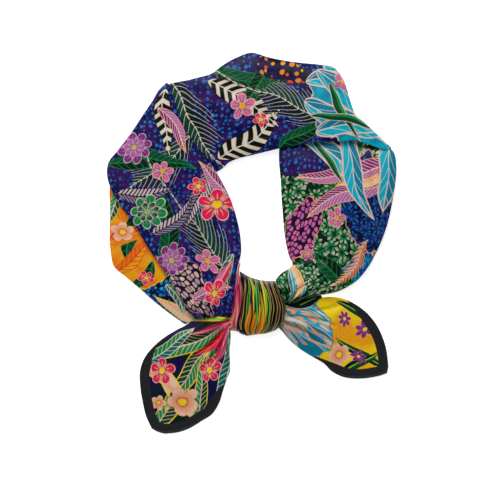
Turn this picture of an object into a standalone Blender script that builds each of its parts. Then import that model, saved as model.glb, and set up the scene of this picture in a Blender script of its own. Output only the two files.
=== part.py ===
"""A silk square scarf, folded on the bias to a band, tied once into a ring and laid flat.

Frame, in metres: +Z up from the table, +Y from the knot to the far side of the ring, +X to
the right. The origin is on the table, under the middle of the scarf's bounding box.

The tables below are in millimetres. Each stretch of the folded band is one rounded solid
with its layers showing at the edges; the two free corners of the square are single walls.
"""

from collections import namedtuple

import bmesh
import bpy
import numpy as np

MM = 0.001

# Driving dimensions, in millimetres.
CLOTH_WALL = 1.8  # a single thickness of cloth, drawn as thick as a wall has to be
LIP_TUCK = 9.5  # how far a stretch that lies on another reaches over it
LIP_STEP = 1.2  # width of the step from a lip's underside down to the table
GROOVE = 1.1  # how deep the grooves between the layers run at an edge
LAYER_STAGGER = 0.9  # how far one layer's edge lies behind the next
LAYER_WANDER = 0.5  # half of how far a hidden layer's edge wanders in and out
LAYER_WAVE = 46.0  # distance over which it does so, along the band
LAYER_PHASE = 2.1  # radians between one layer's wandering and the next
EDGE_PHASE = 1.3  # and between the two edges of a stretch
ROLL = 0.6  # how far the upper face starts inside the top layer's edge
MOST_TUCK = 0.42  # a lip's underside, and the step behind it, as shares of a narrow width
MOST_STEP = 0.05
LEAST_EASE = 0.12  # how far an edge's details shrink on the narrowest section
EASE_WIDTH = 24.0  # a band narrower than this gets its edge details scaled down
RESTING_POINTS = 5  # points across the part of an underside that lies on the table
CENTRE = (0.2, -0.74)  # the middle of the tables' bounding box, put over the origin

# How a section rises from its edges to its crown: (1 - |2t - 1|^BELLY)^SHOULDER.
BELLY = 2.6
SHOULDER = 0.75

# The same for a free corner, then how close to its edges they curl up and the folds end.
TAIL_BELLY = 2.2
TAIL_SHOULDER = 0.8
EDGE_CURL = 4
FOLD_HOLD = 8

# One layer of an edge, from its groove over its fold: height in it, depth into the groove.
LAYER_PROFILE = ((0.0, 1.0), (0.4, 0.0), (0.8, 0.11))

COLLECTION = "silk_square_scarf"
SHARP_ANGLE = np.radians(50)  # a steeper edge than this is shaded as an edge
SHEEN = 0.3

# A section of a folded stretch runs from its outer to its inner edge. bow moves its middle
# sideways, crown is its highest point, a rim is the height of an edge, and a lift is the
# height of that edge's underside above the table.
Section = namedtuple(
    "Section",
    "outer_x outer_y inner_x inner_y bow crown outer_rim inner_rim outer_lift inner_lift",
)

# A section of a free corner of the square. middle, upper_lift and lower_lift are how far the
# cloth stands off the table at its middle and at its two edges.
TailSection = namedtuple(
    "TailSection", "upper_x upper_y lower_x lower_y bow middle upper_lift lower_lift"
)

# A soft fold from one point to another: bend bows its line sideways, height is above
# (ridge) or below (valley) the cloth, width is to either side, and root is 1 for a fold
# that is strongest where it starts and 0 for one that fades at both ends.
Fold = namedtuple("Fold", "from_x from_y to_x to_y bend height width root")

# A gather of the knot: where it lies across the wrap (0 to 1), how it stands out, how wide.
Gather = namedtuple("Gather", "across height width")

# A folded stretch as it is built: how many sections it is lofted through, how many points
# run over its top, how many layers its edges show, and where the layers' wandering starts.
Stretch = namedtuple(
    "Stretch", "name table sections tops layers folds gathers phase colour roughness"
)

# A free corner as it is built: sections along it, points across it, and its folds.
Tail = namedtuple("Tail", "name table sections points folds colour roughness")

# Left stretch: comes up from the knot on top, with the mitred fold at the ring's top left.
LEFT_BAND = [
    Section(-92.6, 175, -90.3, 171.9, 0, 7.0, 6.0, 6.0, 0, 3),
    Section(-100.8, 167, -86.5, 161.5, 0, 10.0, 7.0, 9.0, 0, 6),
    Section(-107.6, 155.5, -81, 145, 0, 12.0, 7.5, 10.0, 0, 6),
    Section(-119, 138.6, -75, 128, 0, 12.5, 7.5, 10.0, 0, 6),
    Section(-131, 120.5, -66, 114, 0, 13.0, 7.5, 10.0, 0, 6),
    Section(-145.5, 101.5, -56, 101, 0, 13.0, 7.5, 10.0, 0, 6),
    Section(-156.3, 86.5, -45, 87, 0, 13.0, 8.0, 10.0, 1, 6),
    Section(-157.2, 74, -38.5, 77, 0, 13.0, 9.5, 10.0, 5, 6),
    Section(-152.5, 58.5, -31.5, 65, 0, 13.0, 10.5, 8.0, 6, 0),
    Section(-141, 40, -22.8, 47, 0, 13.0, 10.5, 7.5, 6, 0),
    Section(-127, 20, -16, 25, 0, 13.0, 10.5, 7.5, 6, 0),
    Section(-111, -7, -12.1, 3, 0, 13.5, 10.5, 8.0, 6, 0),
    Section(-96, -29, -11.9, -12, 0, 14.0, 11.0, 9.0, 6, 0),
    Section(-83, -50, -15.6, -27, 0, 15.0, 11.0, 11.0, 6, 0),
    Section(-72, -68, -18.4, -45, 0, 16.0, 11.0, 13.0, 6, 0),
    Section(-65, -78, -19.4, -62, 0, 15.0, 10.5, 13.0, 6, 0),
    Section(-61, -82.5, -21.8, -79.3, -0.8, 8.5, 7.5, 8.5, 4, 0),
]

# The layers of the left stretch that slipped out from under it, on the outer side.
LEFT_UNDER_LAYER = [
    Section(-154.8, 65, -150, 66, 0, 3.4, 3.0, 3.0, 0, 0),
    Section(-155, 54, -147, 57, 0, 4.8, 4.0, 4.4, 0, 0),
    Section(-154.4, 41, -137, 43, 0, 5.4, 4.2, 5.2, 0, 0),
    Section(-154.5, 23, -125, 25, 0, 5.6, 4.2, 5.4, 0, 0),
    Section(-154.8, 5, -114, 8, 0, 5.6, 4.2, 5.4, 0, 0),
    Section(-153.7, -10, -104, -9, 0, 5.6, 4.2, 5.4, 0, 0),
    Section(-150.1, -25.5, -94, -24, 0, 5.6, 4.2, 5.4, 0, 0),
    Section(-138.6, -35.8, -86, -38, 0, 5.6, 4.2, 5.4, 0, 0),
    Section(-121.3, -50.2, -78, -51, 0, 5.6, 4.2, 5.4, 0, 0),
    Section(-104.8, -64.8, -71, -62, 0, 5.5, 4.2, 5.2, 0, 0),
    Section(-89.8, -76.4, -67, -70, 0, 5.0, 4.0, 4.6, 0, 0),
    Section(-79.4, -83.8, -65, -76, 0, 4.0, 3.4, 3.6, 0, 0),
    Section(-72, -88.3, -66, -81.5, 0, 3.0, 2.6, 2.8, 0, 0),
]

# Far stretch: from under the mitre to the lip that rolls over the right stretch.
TOP_BAND = [
    Section(-87.4, 173.2, -41, 76.5, -13.5, 4.8, 4.4, 4.6, 0, 0),
    Section(-82, 175.5, -33, 81, -11, 6.4, 5.0, 5.4, 0, 0),
    Section(-70, 177.5, -25, 88, -8, 9.5, 6.5, 7.0, 0, 0),
    Section(-56, 180.9, -14, 92.8, -5, 11.5, 7.5, 7.5, 0, 0),
    Section(-44, 184.6, -2, 95.6, -3, 12.5, 7.5, 8.0, 0, 0),
    Section(-32, 193.4, 7, 97.8, -1, 13.0, 7.5, 8.5, 0, 0),
    Section(-17, 201.8, 18, 100.4, 0, 13.5, 7.5, 10.5, 0, 4),
    Section(-1, 207.4, 28, 102.8, 0, 14.0, 7.5, 12.5, 0, 7),
    Section(18, 202.6, 42, 105.6, 0, 14.5, 7.5, 13.0, 0, 7),
    Section(37, 198.7, 56, 108, 0, 15.0, 7.5, 13.5, 0, 7),
    Section(55, 196.3, 70, 110, 0, 15.5, 7.5, 14.0, 0, 7),
    Section(74, 194.4, 86, 111, 0, 16.0, 7.5, 14.0, 0, 7),
    Section(90.5, 191, 101, 111, 0, 16.0, 7.5, 14.0, 0, 7),
    Section(101.6, 176, 112, 112, 0, 16.0, 7.5, 14.0, 0, 7),
    Section(106.7, 158.5, 120, 110, 0, 16.0, 7.5, 14.0, 0, 7),
    Section(112.6, 141.8, 127, 108, 0, 15.5, 8.0, 13.5, 0, 7),
    Section(123.4, 131.6, 135, 105, 0, 14.0, 8.5, 12.5, 0, 7),
    Section(134.2, 121.6, 141, 103, 0, 12.5, 8.5, 11.5, 0, 7),
    Section(143, 113, 147, 102, 0, 10.5, 8.0, 10.0, 0, 6),
    Section(152.2, 104.8, 151.8, 102.4, 0, 7.0, 6.0, 6.5, 0, 3),
]

# Right stretch: from under the lip down to the knot, where it crumples into one roll.
RIGHT_BAND = [
    Section(150.3, 101.4, 31.5, 110, -10, 5.6, 5.2, 5.2, 0, 0),
    Section(155.6, 97.2, 30.5, 101, -9, 6.6, 6.6, 6.4, 0, 0),
    Section(157.6, 84, 30.5, 88, -7, 9.5, 7.5, 7.5, 0, 0),
    Section(156.7, 66, 32, 71, -5, 11.5, 7.5, 7.5, 0, 0),
    Section(153.7, 47, 33, 52, -4, 12.5, 7.5, 7.5, 0, 0),
    Section(149.7, 27, 34.4, 34, -3, 12.5, 7.5, 7.5, 0, 0),
    Section(144.6, 10, 35.7, 16, -2, 12.5, 7.5, 7.5, 0, 0),
    Section(136.8, -8.5, 38, 0, -1, 13.0, 8.0, 8.0, 0, 0),
    Section(126.8, -26.6, 41.3, -14, 0, 13.5, 8.0, 8.5, 0, 0),
    Section(113.2, -42.2, 45, -24, 0, 14.0, 8.5, 9.0, 0, 0),
    Section(101.3, -49.6, 41, -28, 0, 15.5, 9.0, 10.0, 0, 0),
    Section(90, -54, 33, -33, 0, 17.0, 9.5, 11.0, 0, 0),
    Section(77, -56.5, 26.4, -41.8, 0, 17.5, 9.5, 12.5, 0, 0),
    Section(65, -59.3, 29.2, -50, 0, 17.0, 9.5, 13.5, 0, 0),
    Section(54, -62, 32.8, -58, 0, 15.0, 9.0, 12.5, 0, 0),
    Section(45, -66.5, 36.8, -66.5, 0, 9.0, 7.5, 8.0, 0, 0),
]

# The wrap of the knot: its sections run across the gathers, from the neck side to the ends.
KNOT_WRAP = [
    Section(-12.5, -30.8, 25, -41.2, -3.6, 7.0, 5.5, 5.5, 0, 0),
    Section(-11.3, -40, 26.5, -45.5, -2.8, 16.0, 11.0, 11.0, 0, 0),
    Section(-9.4, -49, 29.4, -52.5, -1, 23.0, 15.0, 15.0, 0, 0),
    Section(-9.2, -60, 33.6, -61, 0, 26.5, 17.0, 16.5, 0, 0),
    Section(-10.2, -71, 36.8, -70, 0, 27.0, 17.0, 16.5, 0, 0),
    Section(-12.2, -81, 36.0, -78, 0, 25.5, 16.5, 15.5, 0, 0),
    Section(-14, -89, 34, -86.5, 0, 22.0, 14.0, 13.5, 0, 0),
    Section(-13.4, -97, 27.6, -94, 0, 15.0, 10.0, 9.5, 0, 0),
    Section(-5, -101.6, 14.5, -99.3, 0, 7.0, 5.5, 5.5, 0, 0),
]

# The strand that leaves the left stretch beside the wrap and opens into the left corner.
KNOT_STRAND = [
    Section(-13.4, -21.5, -12.4, -22.3, 0, 8.0, 6.0, 6.0, 0, 0),
    Section(-15.6, -32, -13.9, -33, 0, 13.0, 10.0, 9.0, 0, 0),
    Section(-16.9, -40, -12.4, -40, 0, 17.0, 12.0, 11.0, 0, 0),
    Section(-18, -51, -10.0, -51, 0, 20.0, 13.0, 13.0, 0, 0),
    Section(-18.6, -63, -9.9, -63, 0, 20.5, 13.5, 13.5, 0, 0),
    Section(-20.4, -75, -11.6, -75, 0, 19.0, 12.5, 12.5, 0, 0),
    Section(-22, -86, -14.2, -86, 0, 15.0, 10.0, 10.0, 0, 0),
    Section(-22.2, -95.8, -15.2, -97, 0, 8.0, 6.0, 6.0, 0, 0),
]

# The dark edge that is turned under between the right stretch and the right corner.
RIGHT_TURNED_EDGE = [
    Section(48, -66.0, 51, -70.6, 0, 4.0, 3.2, 3.2, 0, 0),
    Section(57, -61.8, 62, -69.4, 0, 5.4, 3.8, 3.8, 0, 0),
    Section(67, -59.3, 70.5, -65.4, 0, 5.0, 3.6, 3.6, 0, 0),
    Section(76, -57.3, 78, -60.6, 0, 3.0, 2.6, 2.6, 0, 0),
]

# The left corner of the square, open from the strand's root to its tip.
LEFT_TAIL = [
    TailSection(-24, -80.2, -23.6, -96, 0, 7.0, 3.5, 4.0),
    TailSection(-32, -81.2, -22.6, -100, 0, 8.0, 3.0, 4.5),
    TailSection(-45, -82.4, -23, -108, 0, 8.0, 2.5, 4.5),
    TailSection(-59, -83.8, -24, -118, 0, 6.5, 1.5, 3.5),
    TailSection(-70.5, -89, -23.5, -129, 0, 4.5, 0.8, 2.6),
    TailSection(-82.3, -95.2, -23.5, -140, 0, 3.0, 0.3, 2.2),
    TailSection(-95, -103, -27, -149, 0, 1.8, 0.0, 1.8),
    TailSection(-107, -113, -31, -161, 0, 1.0, 0.0, 1.2),
    TailSection(-117.3, -126, -35, -174, 0, 0.4, 0.0, 0.6),
    TailSection(-122.1, -141, -43, -187, 0, 0.0, 0.5, 0.0),
    TailSection(-121.6, -158, -55, -195, 0, 0.0, 1.2, 0.0),
    TailSection(-119, -174, -68.4, -203, 0, 0.0, 1.0, 0.0),
    TailSection(-115.5, -189, -81, -207.2, 0, 0.0, 0.3, 0.5),
    TailSection(-109.4, -202.6, -94.5, -208.6, -1, 0.0, 0.0, 0.8),
]

# The right corner of the square, its far edge turned under near the knot.
RIGHT_TAIL = [
    TailSection(37.9, -68, 31.6, -94.6, 1.4, 8.0, 4.0, 4.0),
    TailSection(50, -71.2, 39.4, -103.8, 0.8, 8.0, 4.0, 4.0),
    TailSection(63, -70.2, 49.5, -113.2, 0, 7.0, 4.0, 3.0),
    TailSection(76, -62.6, 60.5, -120.7, 0, 5.5, 3.5, 2.0),
    TailSection(89, -59, 70.4, -126.5, 0, 4.0, 3.0, 1.2),
    TailSection(102.8, -61.7, 79.4, -132, 0, 2.6, 2.2, 0.6),
    TailSection(116.3, -68.6, 87.6, -140.2, 0, 1.4, 1.6, 0.0),
    TailSection(127, -77.2, 98, -145.8, 0, 0.8, 1.2, 0.0),
    TailSection(136.8, -89.4, 110, -148.2, 0, 0.3, 0.8, 0.3),
    TailSection(142.7, -101, 122, -148.2, 0, 0.0, 0.4, 0.8),
    TailSection(147, -114, 132, -146.9, 0, 0.0, 0.0, 1.0),
    TailSection(148.8, -124.5, 141, -145, 0, 0.0, 0.0, 0.6),
    TailSection(149.8, -135, 148.4, -142.3, 0, 0.0, 0.3, 0.3),
]

# Long soft folds that run out of the knot along the left stretch, and one along its mitre.
LEFT_BAND_FOLDS = [
    Fold(-20, -52, -37, 58, 5, -1.6, 6, 1),
    Fold(-31, -72, -78, 42, 6, -1.8, 6, 1),
    Fold(-44, -76, -108, 22, 4, -1.6, 5, 1),
    Fold(-26, -64, -56, 50, 5, 1.5, 8, 1),
    Fold(-38, -76, -92, 30, 5, 1.3, 7, 1),
    Fold(-84, 165, -140, 84, -6, 1.0, 8, 0),
]

# The sharp turn at the ring's top right comes first, then the softer swells.
TOP_BAND_FOLDS = [
    Fold(70, 184, 111, 142, 3, -4.0, 5, 0),
    Fold(-40, 190, -14, 160, -4, -3.0, 5, 1),
    Fold(52, 120, 116, 134, 12, 1.8, 9, 0),
    Fold(-50, 110, 20, 128, 6, 1.0, 10, 0),
    Fold(-60, 120, 0, 178, 4, -1.2, 8, 0),
    Fold(60, 128, 128, 112, 8, -1.2, 6, 0),
]

# The crease where the right stretch buckles above the knot, its roll, then its long folds.
RIGHT_BAND_FOLDS = [
    Fold(45, -25, 66, -33, -2, -6.0, 4, 1),
    Fold(40, -36, 72, -50, -4, 2.0, 7, 0),
    Fold(60, -34, 112, 42, -6, -1.6, 7, 1),
    Fold(74, -46, 138, 20, -8, -1.6, 7, 1),
    Fold(66, -40, 124, 36, -8, 1.2, 8, 1),
    Fold(50, 96, 60, 10, 4, 1.2, 10, 0),
    Fold(140, 100, 128, 20, -6, 1.2, 9, 0),
]

# Pleats that fan out of the knot: each narrow valley has a rounded ridge above it.
LEFT_TAIL_FOLDS = [
    Fold(-26, -84, -74, -110, 4, -4.5, 2.4, 1),
    Fold(-28, -80, -78, -103, 2, 3.0, 6, 1),
    Fold(-25, -86, -64, -124, 3, -4.0, 2.2, 1),
    Fold(-25, -86, -60, -116, 2, 2.6, 3, 1),
    Fold(-24, -90, -52, -136, 3, -3.6, 2.2, 1),
    Fold(-24, -89, -52, -126, 2, 2.6, 3, 1),
    Fold(-23, -95, -42, -134, 2, -3.6, 2.2, 1),
    Fold(-23, -93, -43, -124, 2, 2.4, 3, 1),
    Fold(-23, -98, -32, -132, 1, 2.2, 3, 1),
    Fold(-78, -112, -80, -130, 1, 1.8, 5, 0),
    Fold(-66, -110, -70, -134, 1, 1.6, 5, 0),
]

RIGHT_TAIL_FOLDS = [
    Fold(52, -74, 101, -66, -4, -3.4, 4, 1),
    Fold(40, -80, 92, -92, 3, -3.0, 2.8, 1),
    Fold(39, -88, 76, -112, 2, -3.0, 2.8, 1),
    Fold(42, -76, 96, -80, 2, 1.6, 6, 1),
    Fold(40, -84, 84, -102, 2, 2.2, 4, 1),
    Fold(38, -93, 68, -118, 2, 1.6, 3, 1),
]

GATHERS = [
    Gather(0.05, 1.3, 1.4),
    Gather(0.12, 1.8, 1.5),
    Gather(0.20, 1.5, 1.3),
    Gather(0.27, 2.1, 1.6),
    Gather(0.35, 1.6, 1.4),
    Gather(0.43, 2.2, 1.7),
    Gather(0.50, 1.7, 1.3),
    Gather(0.57, 2.0, 1.5),
    Gather(0.65, 2.2, 1.6),
    Gather(0.72, 1.6, 1.3),
    Gather(0.79, 1.9, 1.4),
    Gather(0.86, 1.5, 1.3),
    Gather(0.93, 1.3, 1.3),
]

# Seen past the edges of its neighbours, each stretch is its own short length of the cloth.
STRETCHES = [
    Stretch(
        name="left_band",
        table=LEFT_BAND,
        sections=34,
        tops=13,
        layers=3,
        folds=LEFT_BAND_FOLDS,
        gathers=(),
        phase=0.0,
        colour=(0.13, 0.05, 0.22),
        roughness=0.45,
    ),
    Stretch(
        name="left_under_layer",
        table=LEFT_UNDER_LAYER,
        sections=20,
        tops=6,
        layers=2,
        folds=(),
        gathers=(),
        phase=0.7,
        colour=(0.55, 0.22, 0.06),
        roughness=0.45,
    ),
    Stretch(
        name="top_band",
        table=TOP_BAND,
        sections=34,
        tops=13,
        layers=3,
        folds=TOP_BAND_FOLDS,
        gathers=(),
        phase=2.0,
        colour=(0.03, 0.20, 0.12),
        roughness=0.45,
    ),
    Stretch(
        name="right_band",
        table=RIGHT_BAND,
        sections=36,
        tops=13,
        layers=3,
        folds=RIGHT_BAND_FOLDS,
        gathers=(),
        phase=3.1,
        colour=(0.02, 0.22, 0.25),
        roughness=0.45,
    ),
    Stretch(
        name="knot_wrap",
        table=KNOT_WRAP,
        sections=17,
        tops=46,
        layers=1,
        folds=(),
        gathers=GATHERS,
        phase=0.0,
        colour=(0.35, 0.25, 0.03),
        roughness=0.42,
    ),
    Stretch(
        name="knot_strand",
        table=KNOT_STRAND,
        sections=13,
        tops=8,
        layers=1,
        folds=(),
        gathers=(),
        phase=0.0,
        colour=(0.65, 0.02, 0.10),
        roughness=0.42,
    ),
    Stretch(
        name="right_turned_edge",
        table=RIGHT_TURNED_EDGE,
        sections=8,
        tops=5,
        layers=1,
        folds=(),
        gathers=(),
        phase=0.0,
        colour=(0.02, 0.06, 0.03),
        roughness=0.5,
    ),
]

TAILS = [
    Tail(
        name="left_tail",
        table=LEFT_TAIL,
        sections=24,
        points=25,
        folds=LEFT_TAIL_FOLDS,
        colour=(0.05, 0.20, 0.08),
        roughness=0.45,
    ),
    Tail(
        name="right_tail",
        table=RIGHT_TAIL,
        sections=22,
        points=21,
        folds=RIGHT_TAIL_FOLDS,
        colour=(0.75, 0.52, 0.03),
        roughness=0.45,
    ),
]


def stations(table, count):
    """The table's columns, read at evenly spaced stations along a smooth curve through its rows."""
    rows = np.array(table, float)
    outer_steps = np.linalg.norm(np.diff(rows[:, 0:2], axis=0), axis=1)
    inner_steps = np.linalg.norm(np.diff(rows[:, 2:4], axis=0), axis=1)
    at = np.concatenate([[0.0], np.cumsum((outer_steps + inner_steps) / 2)])
    slopes = np.gradient(rows, at, axis=0)
    wanted = np.linspace(0.0, at[-1], count)
    before = np.clip(np.searchsorted(at, wanted, side="right") - 1, 0, len(at) - 2)
    span = (at[before + 1] - at[before])[:, None]
    t = (wanted - at[before])[:, None] / span
    columns = (
        (2 * t**3 - 3 * t**2 + 1) * rows[before]
        + (t**3 - 2 * t**2 + t) * span * slopes[before]
        + (3 * t**2 - 2 * t**3) * rows[before + 1]
        + (t**3 - t**2) * span * slopes[before + 1]
    )
    return wanted, columns


def plan_points(columns, across):
    """Where the points at across (0 on the first edge, 1 on the second) lie on the table."""
    first, second, bow = columns[:, 0:2], columns[:, 2:4], columns[:, 4]
    chord = second - first
    width = np.linalg.norm(chord, axis=1)
    side = np.stack([-chord[:, 1], chord[:, 0]], axis=1) / width[:, None]
    bulge = bow[:, None] * 4 * across * (1 - across)
    return (
        first[:, None]
        + chord[:, None] * across[..., None]
        + side[:, None] * bulge[..., None]
    )


def fold_heights(plan, folds):
    """The height that the folds add at each plan point: a bell across each fold's bowed line."""
    total = np.zeros(plan.shape[:-1])
    for fold in folds:
        start = np.array([fold.from_x, fold.from_y], float)
        reach = np.array([fold.to_x, fold.to_y], float) - start
        length = np.linalg.norm(reach)
        side = np.array([-reach[1], reach[0]]) / length
        offset = plan - start
        along = np.clip(offset @ reach / length**2, 0, 1)
        line = (
            start
            + along[..., None] * reach
            + (fold.bend * 4 * along * (1 - along))[..., None] * side
        )
        distance = np.linalg.norm(plan - line, axis=-1)
        fade = np.sqrt(1 - along) if fold.root else np.sin(np.pi * along)
        total += fold.height * fade * np.exp(-((distance / fold.width) ** 2))
    return total


def gather_heights(across, width, gathers):
    """The height of the knot's gathers: ridges that run the length of the wrap."""
    total = np.zeros_like(across)
    for gather in gathers:
        distance = (across - gather.across) * width
        total += gather.height * np.exp(-((distance / gather.width) ** 2))
    return total


def edge_chain(layers, lift, rim, along, ease, phase):
    """Insets from an edge and heights, going up over its layers, each a rounded fold."""
    insets, heights = [], []
    for layer in range(layers):
        behind = LAYER_STAGGER * (layers - 1 - layer)
        wander = 1 + np.sin(2 * np.pi * along / LAYER_WAVE + phase + LAYER_PHASE * layer)
        setback = ease * (behind + (LAYER_WANDER * wander if layer < layers - 1 else 0))
        for share, inset in LAYER_PROFILE:
            insets.append(setback + GROOVE * inset * ease)
            heights.append(lift + (rim - lift) * (layer + share) / layers)
    return np.stack(insets, axis=1), np.stack(heights, axis=1)


def top_chain(stretch, section, width, first, last):
    """Places across the stretch from one edge to the other, and the height of its upper face."""
    evenly = np.arange(1, stretch.tops + 1) / (stretch.tops + 1)
    share = (evenly + (1 - np.cos(np.pi * evenly)) / 2) / 2  # closer together at the edges
    across = first + (last - first) * share
    rim = section.outer_rim[:, None] + (section.inner_rim - section.outer_rim)[:, None] * share
    swell = (1 - np.abs(2 * share - 1) ** BELLY) ** SHOULDER
    heights = rim + (section.crown[:, None] - rim) * swell
    return across, heights + gather_heights(across, width[:, None], stretch.gathers)


def bottom_chain(section, width):
    """Places back across the underside: up under a lip at either edge, else on the table."""
    tuck = np.minimum(LIP_TUCK, MOST_TUCK * width) / width
    foot = tuck + np.minimum(LIP_STEP, MOST_STEP * width) / width
    resting = foot + (1 - 2 * foot) * np.linspace(1, 0, RESTING_POINTS)[:, None]
    across = np.stack([1 - tuck, *resting, tuck], axis=1)
    heights = np.zeros_like(across)
    heights[:, 0], heights[:, -1] = section.inner_lift, section.outer_lift
    return across, heights


def stretch_rings(stretch):
    """Closed sections of a folded stretch: up the outer edge, over, down, and back underneath."""
    along, columns = stations(stretch.table, stretch.sections)
    section = Section(*columns.T)
    width = np.linalg.norm(columns[:, 2:4] - columns[:, 0:2], axis=1)
    ease = np.clip(width / EASE_WIDTH, LEAST_EASE, 1.0)

    up, up_z = edge_chain(
        stretch.layers, section.outer_lift, section.outer_rim, along, ease, stretch.phase
    )
    down, down_z = edge_chain(
        stretch.layers, section.inner_lift, section.inner_rim, along, ease, stretch.phase + EDGE_PHASE
    )
    up, down = up / width[:, None], 1 - down / width[:, None]
    turn = ROLL * ease[:, None] / width[:, None]
    top, top_z = top_chain(stretch, section, width, up[:, -1:] + turn, down[:, -1:] - turn)
    bottom, bottom_z = bottom_chain(section, width)

    across = np.concatenate([up, top, down[:, ::-1], bottom], axis=1)
    heights = np.concatenate([up_z, top_z, down_z[:, ::-1], bottom_z], axis=1)
    plan = plan_points(columns, across)

    # A fold moves the upper face whole, and the layers of an edge by how high each lies.
    under = np.minimum(section.outer_lift, section.inner_lift)[:, None]
    rim = (section.outer_rim + section.inner_rim)[:, None] / 2
    reach = np.clip((heights - under) / (rim - under), 0, 1)
    reach[:, -bottom.shape[1] :] = 0
    heights = np.maximum(heights + fold_heights(plan, stretch.folds) * reach, 0)
    return np.concatenate([plan, heights[..., None]], axis=2)


def tail_rings(tail):
    """Closed sections of a free corner: the cloth's upper face, then its lower face back."""
    _, columns = stations(tail.table, tail.sections)
    section = TailSection(*columns.T)
    share = np.tile(np.linspace(0, 1, tail.points), (tail.sections, 1))
    plan = plan_points(columns, share)
    swell = (1 - np.abs(2 * share - 1) ** TAIL_BELLY) ** TAIL_SHOULDER
    edges = (
        section.upper_lift[:, None] * (1 - share) ** EDGE_CURL
        + section.lower_lift[:, None] * share**EDGE_CURL
    )
    kept = 1 - np.abs(2 * share - 1) ** FOLD_HOLD  # folds flatten out right at the edges
    lower = section.middle[:, None] * swell + edges + fold_heights(plan, tail.folds) * kept
    lower = np.maximum(lower, 0)
    upper_face = np.concatenate([plan, lower[..., None] + CLOTH_WALL], axis=2)
    lower_face = np.concatenate([plan, lower[..., None]], axis=2)
    return np.concatenate([upper_face, lower_face[:, ::-1]], axis=1)


def loft(name, rings, colour, roughness, thin):
    """An object whose closed sections are the rings, joined in order and capped at both ends.

    A thin section's cap is a strip between its two faces, and any other cap is one polygon.
    """
    sections, points = rings.shape[:2]
    index = np.arange(sections * points).reshape(sections, points)
    onward = np.roll(index, -1, axis=1)
    faces = np.stack([index[:-1], onward[:-1], onward[1:], index[1:]], axis=-1)
    faces = faces.reshape(-1, 4).tolist()
    for ring in (index[0], index[-1]):
        over, under = ring[: points // 2], ring[points // 2 :][::-1]
        strip = np.stack([over[:-1], over[1:], under[1:], under[:-1]], axis=1) if thin else [ring]
        faces += [list(map(int, face)) for face in strip]

    mesh = bpy.data.meshes.new(name)
    centred = (rings.reshape(-1, 3) - np.array([*CENTRE, 0.0])) * MM
    mesh.from_pydata(centred.tolist(), [], faces)
    work = bmesh.new()
    work.from_mesh(mesh)
    bmesh.ops.triangulate(work, faces=[face for face in work.faces if len(face.verts) > 4])
    bmesh.ops.recalc_face_normals(work, faces=work.faces)
    work.to_mesh(mesh)
    work.free()
    mesh.shade_smooth()
    mesh.set_sharp_from_angle(angle=SHARP_ANGLE)
    mesh.materials.append(silk(name, colour, roughness))

    part = bpy.data.objects.new(name, mesh)
    bpy.data.collections[COLLECTION].objects.link(part)
    return part


def silk(name, colour, roughness):
    """Printed silk twill: a soft satin gloss over the stretch's main colour."""
    material = bpy.data.materials.new(name + "_silk")
    material.use_nodes = True
    shader = material.node_tree.nodes["Principled BSDF"]
    shader.inputs["Base Color"].default_value = (*colour, 1)
    shader.inputs["Roughness"].default_value = roughness
    shader.inputs["Metallic"].default_value = 0.0
    shader.inputs["Sheen Weight"].default_value = SHEEN
    return material


def clear_scene():
    """Removes every object the scene starts with."""
    for item in list(bpy.data.objects):
        bpy.data.objects.remove(item, do_unlink=True)


def build():
    """Makes the scarf: its folded stretches, then its two free corners."""
    clear_scene()
    bpy.context.scene.collection.children.link(bpy.data.collections.new(COLLECTION))
    for stretch in STRETCHES:
        rings = stretch_rings(stretch)
        loft(stretch.name, rings, stretch.colour, stretch.roughness, thin=False)
    for tail in TAILS:
        loft(tail.name, tail_rings(tail), tail.colour, tail.roughness, thin=True)


build()
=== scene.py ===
"""Dresses the knotted silk square: the folded ring, the knot and the two free corners.

Lengths in the tables and in the class fields are millimetres, in the frame of the solids:
+Z up from the table, +Y from the knot to the far side of the ring, +X to the right.
"""

import logging
import math
from dataclasses import dataclass
from enum import Enum
from typing import Any, ClassVar, Sequence

import bpy
import numpy as np
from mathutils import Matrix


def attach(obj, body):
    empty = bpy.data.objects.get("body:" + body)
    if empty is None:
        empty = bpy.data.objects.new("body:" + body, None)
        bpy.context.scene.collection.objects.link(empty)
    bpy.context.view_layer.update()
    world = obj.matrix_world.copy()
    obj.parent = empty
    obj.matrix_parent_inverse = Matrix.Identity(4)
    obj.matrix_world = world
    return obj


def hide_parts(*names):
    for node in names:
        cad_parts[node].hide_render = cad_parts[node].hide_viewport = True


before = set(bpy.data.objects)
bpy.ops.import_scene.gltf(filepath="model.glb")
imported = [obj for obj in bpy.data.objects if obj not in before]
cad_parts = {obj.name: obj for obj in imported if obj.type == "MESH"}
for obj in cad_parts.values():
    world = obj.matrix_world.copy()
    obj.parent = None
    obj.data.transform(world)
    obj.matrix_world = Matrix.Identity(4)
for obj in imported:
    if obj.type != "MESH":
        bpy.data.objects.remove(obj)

LOG = logging.getLogger("scarf")
MM = 0.001
CENTRE = np.array([0.2, -0.74])  # the tables' middle, which the solids have over the origin
BODY = "root"

Array = np.ndarray
Surface = tuple[Array, Array, Array | None, int]
Node = bpy.types.Node
Socket = bpy.types.NodeSocket
Tree = bpy.types.NodeTree


# ---- Colours and nodes ----


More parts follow.
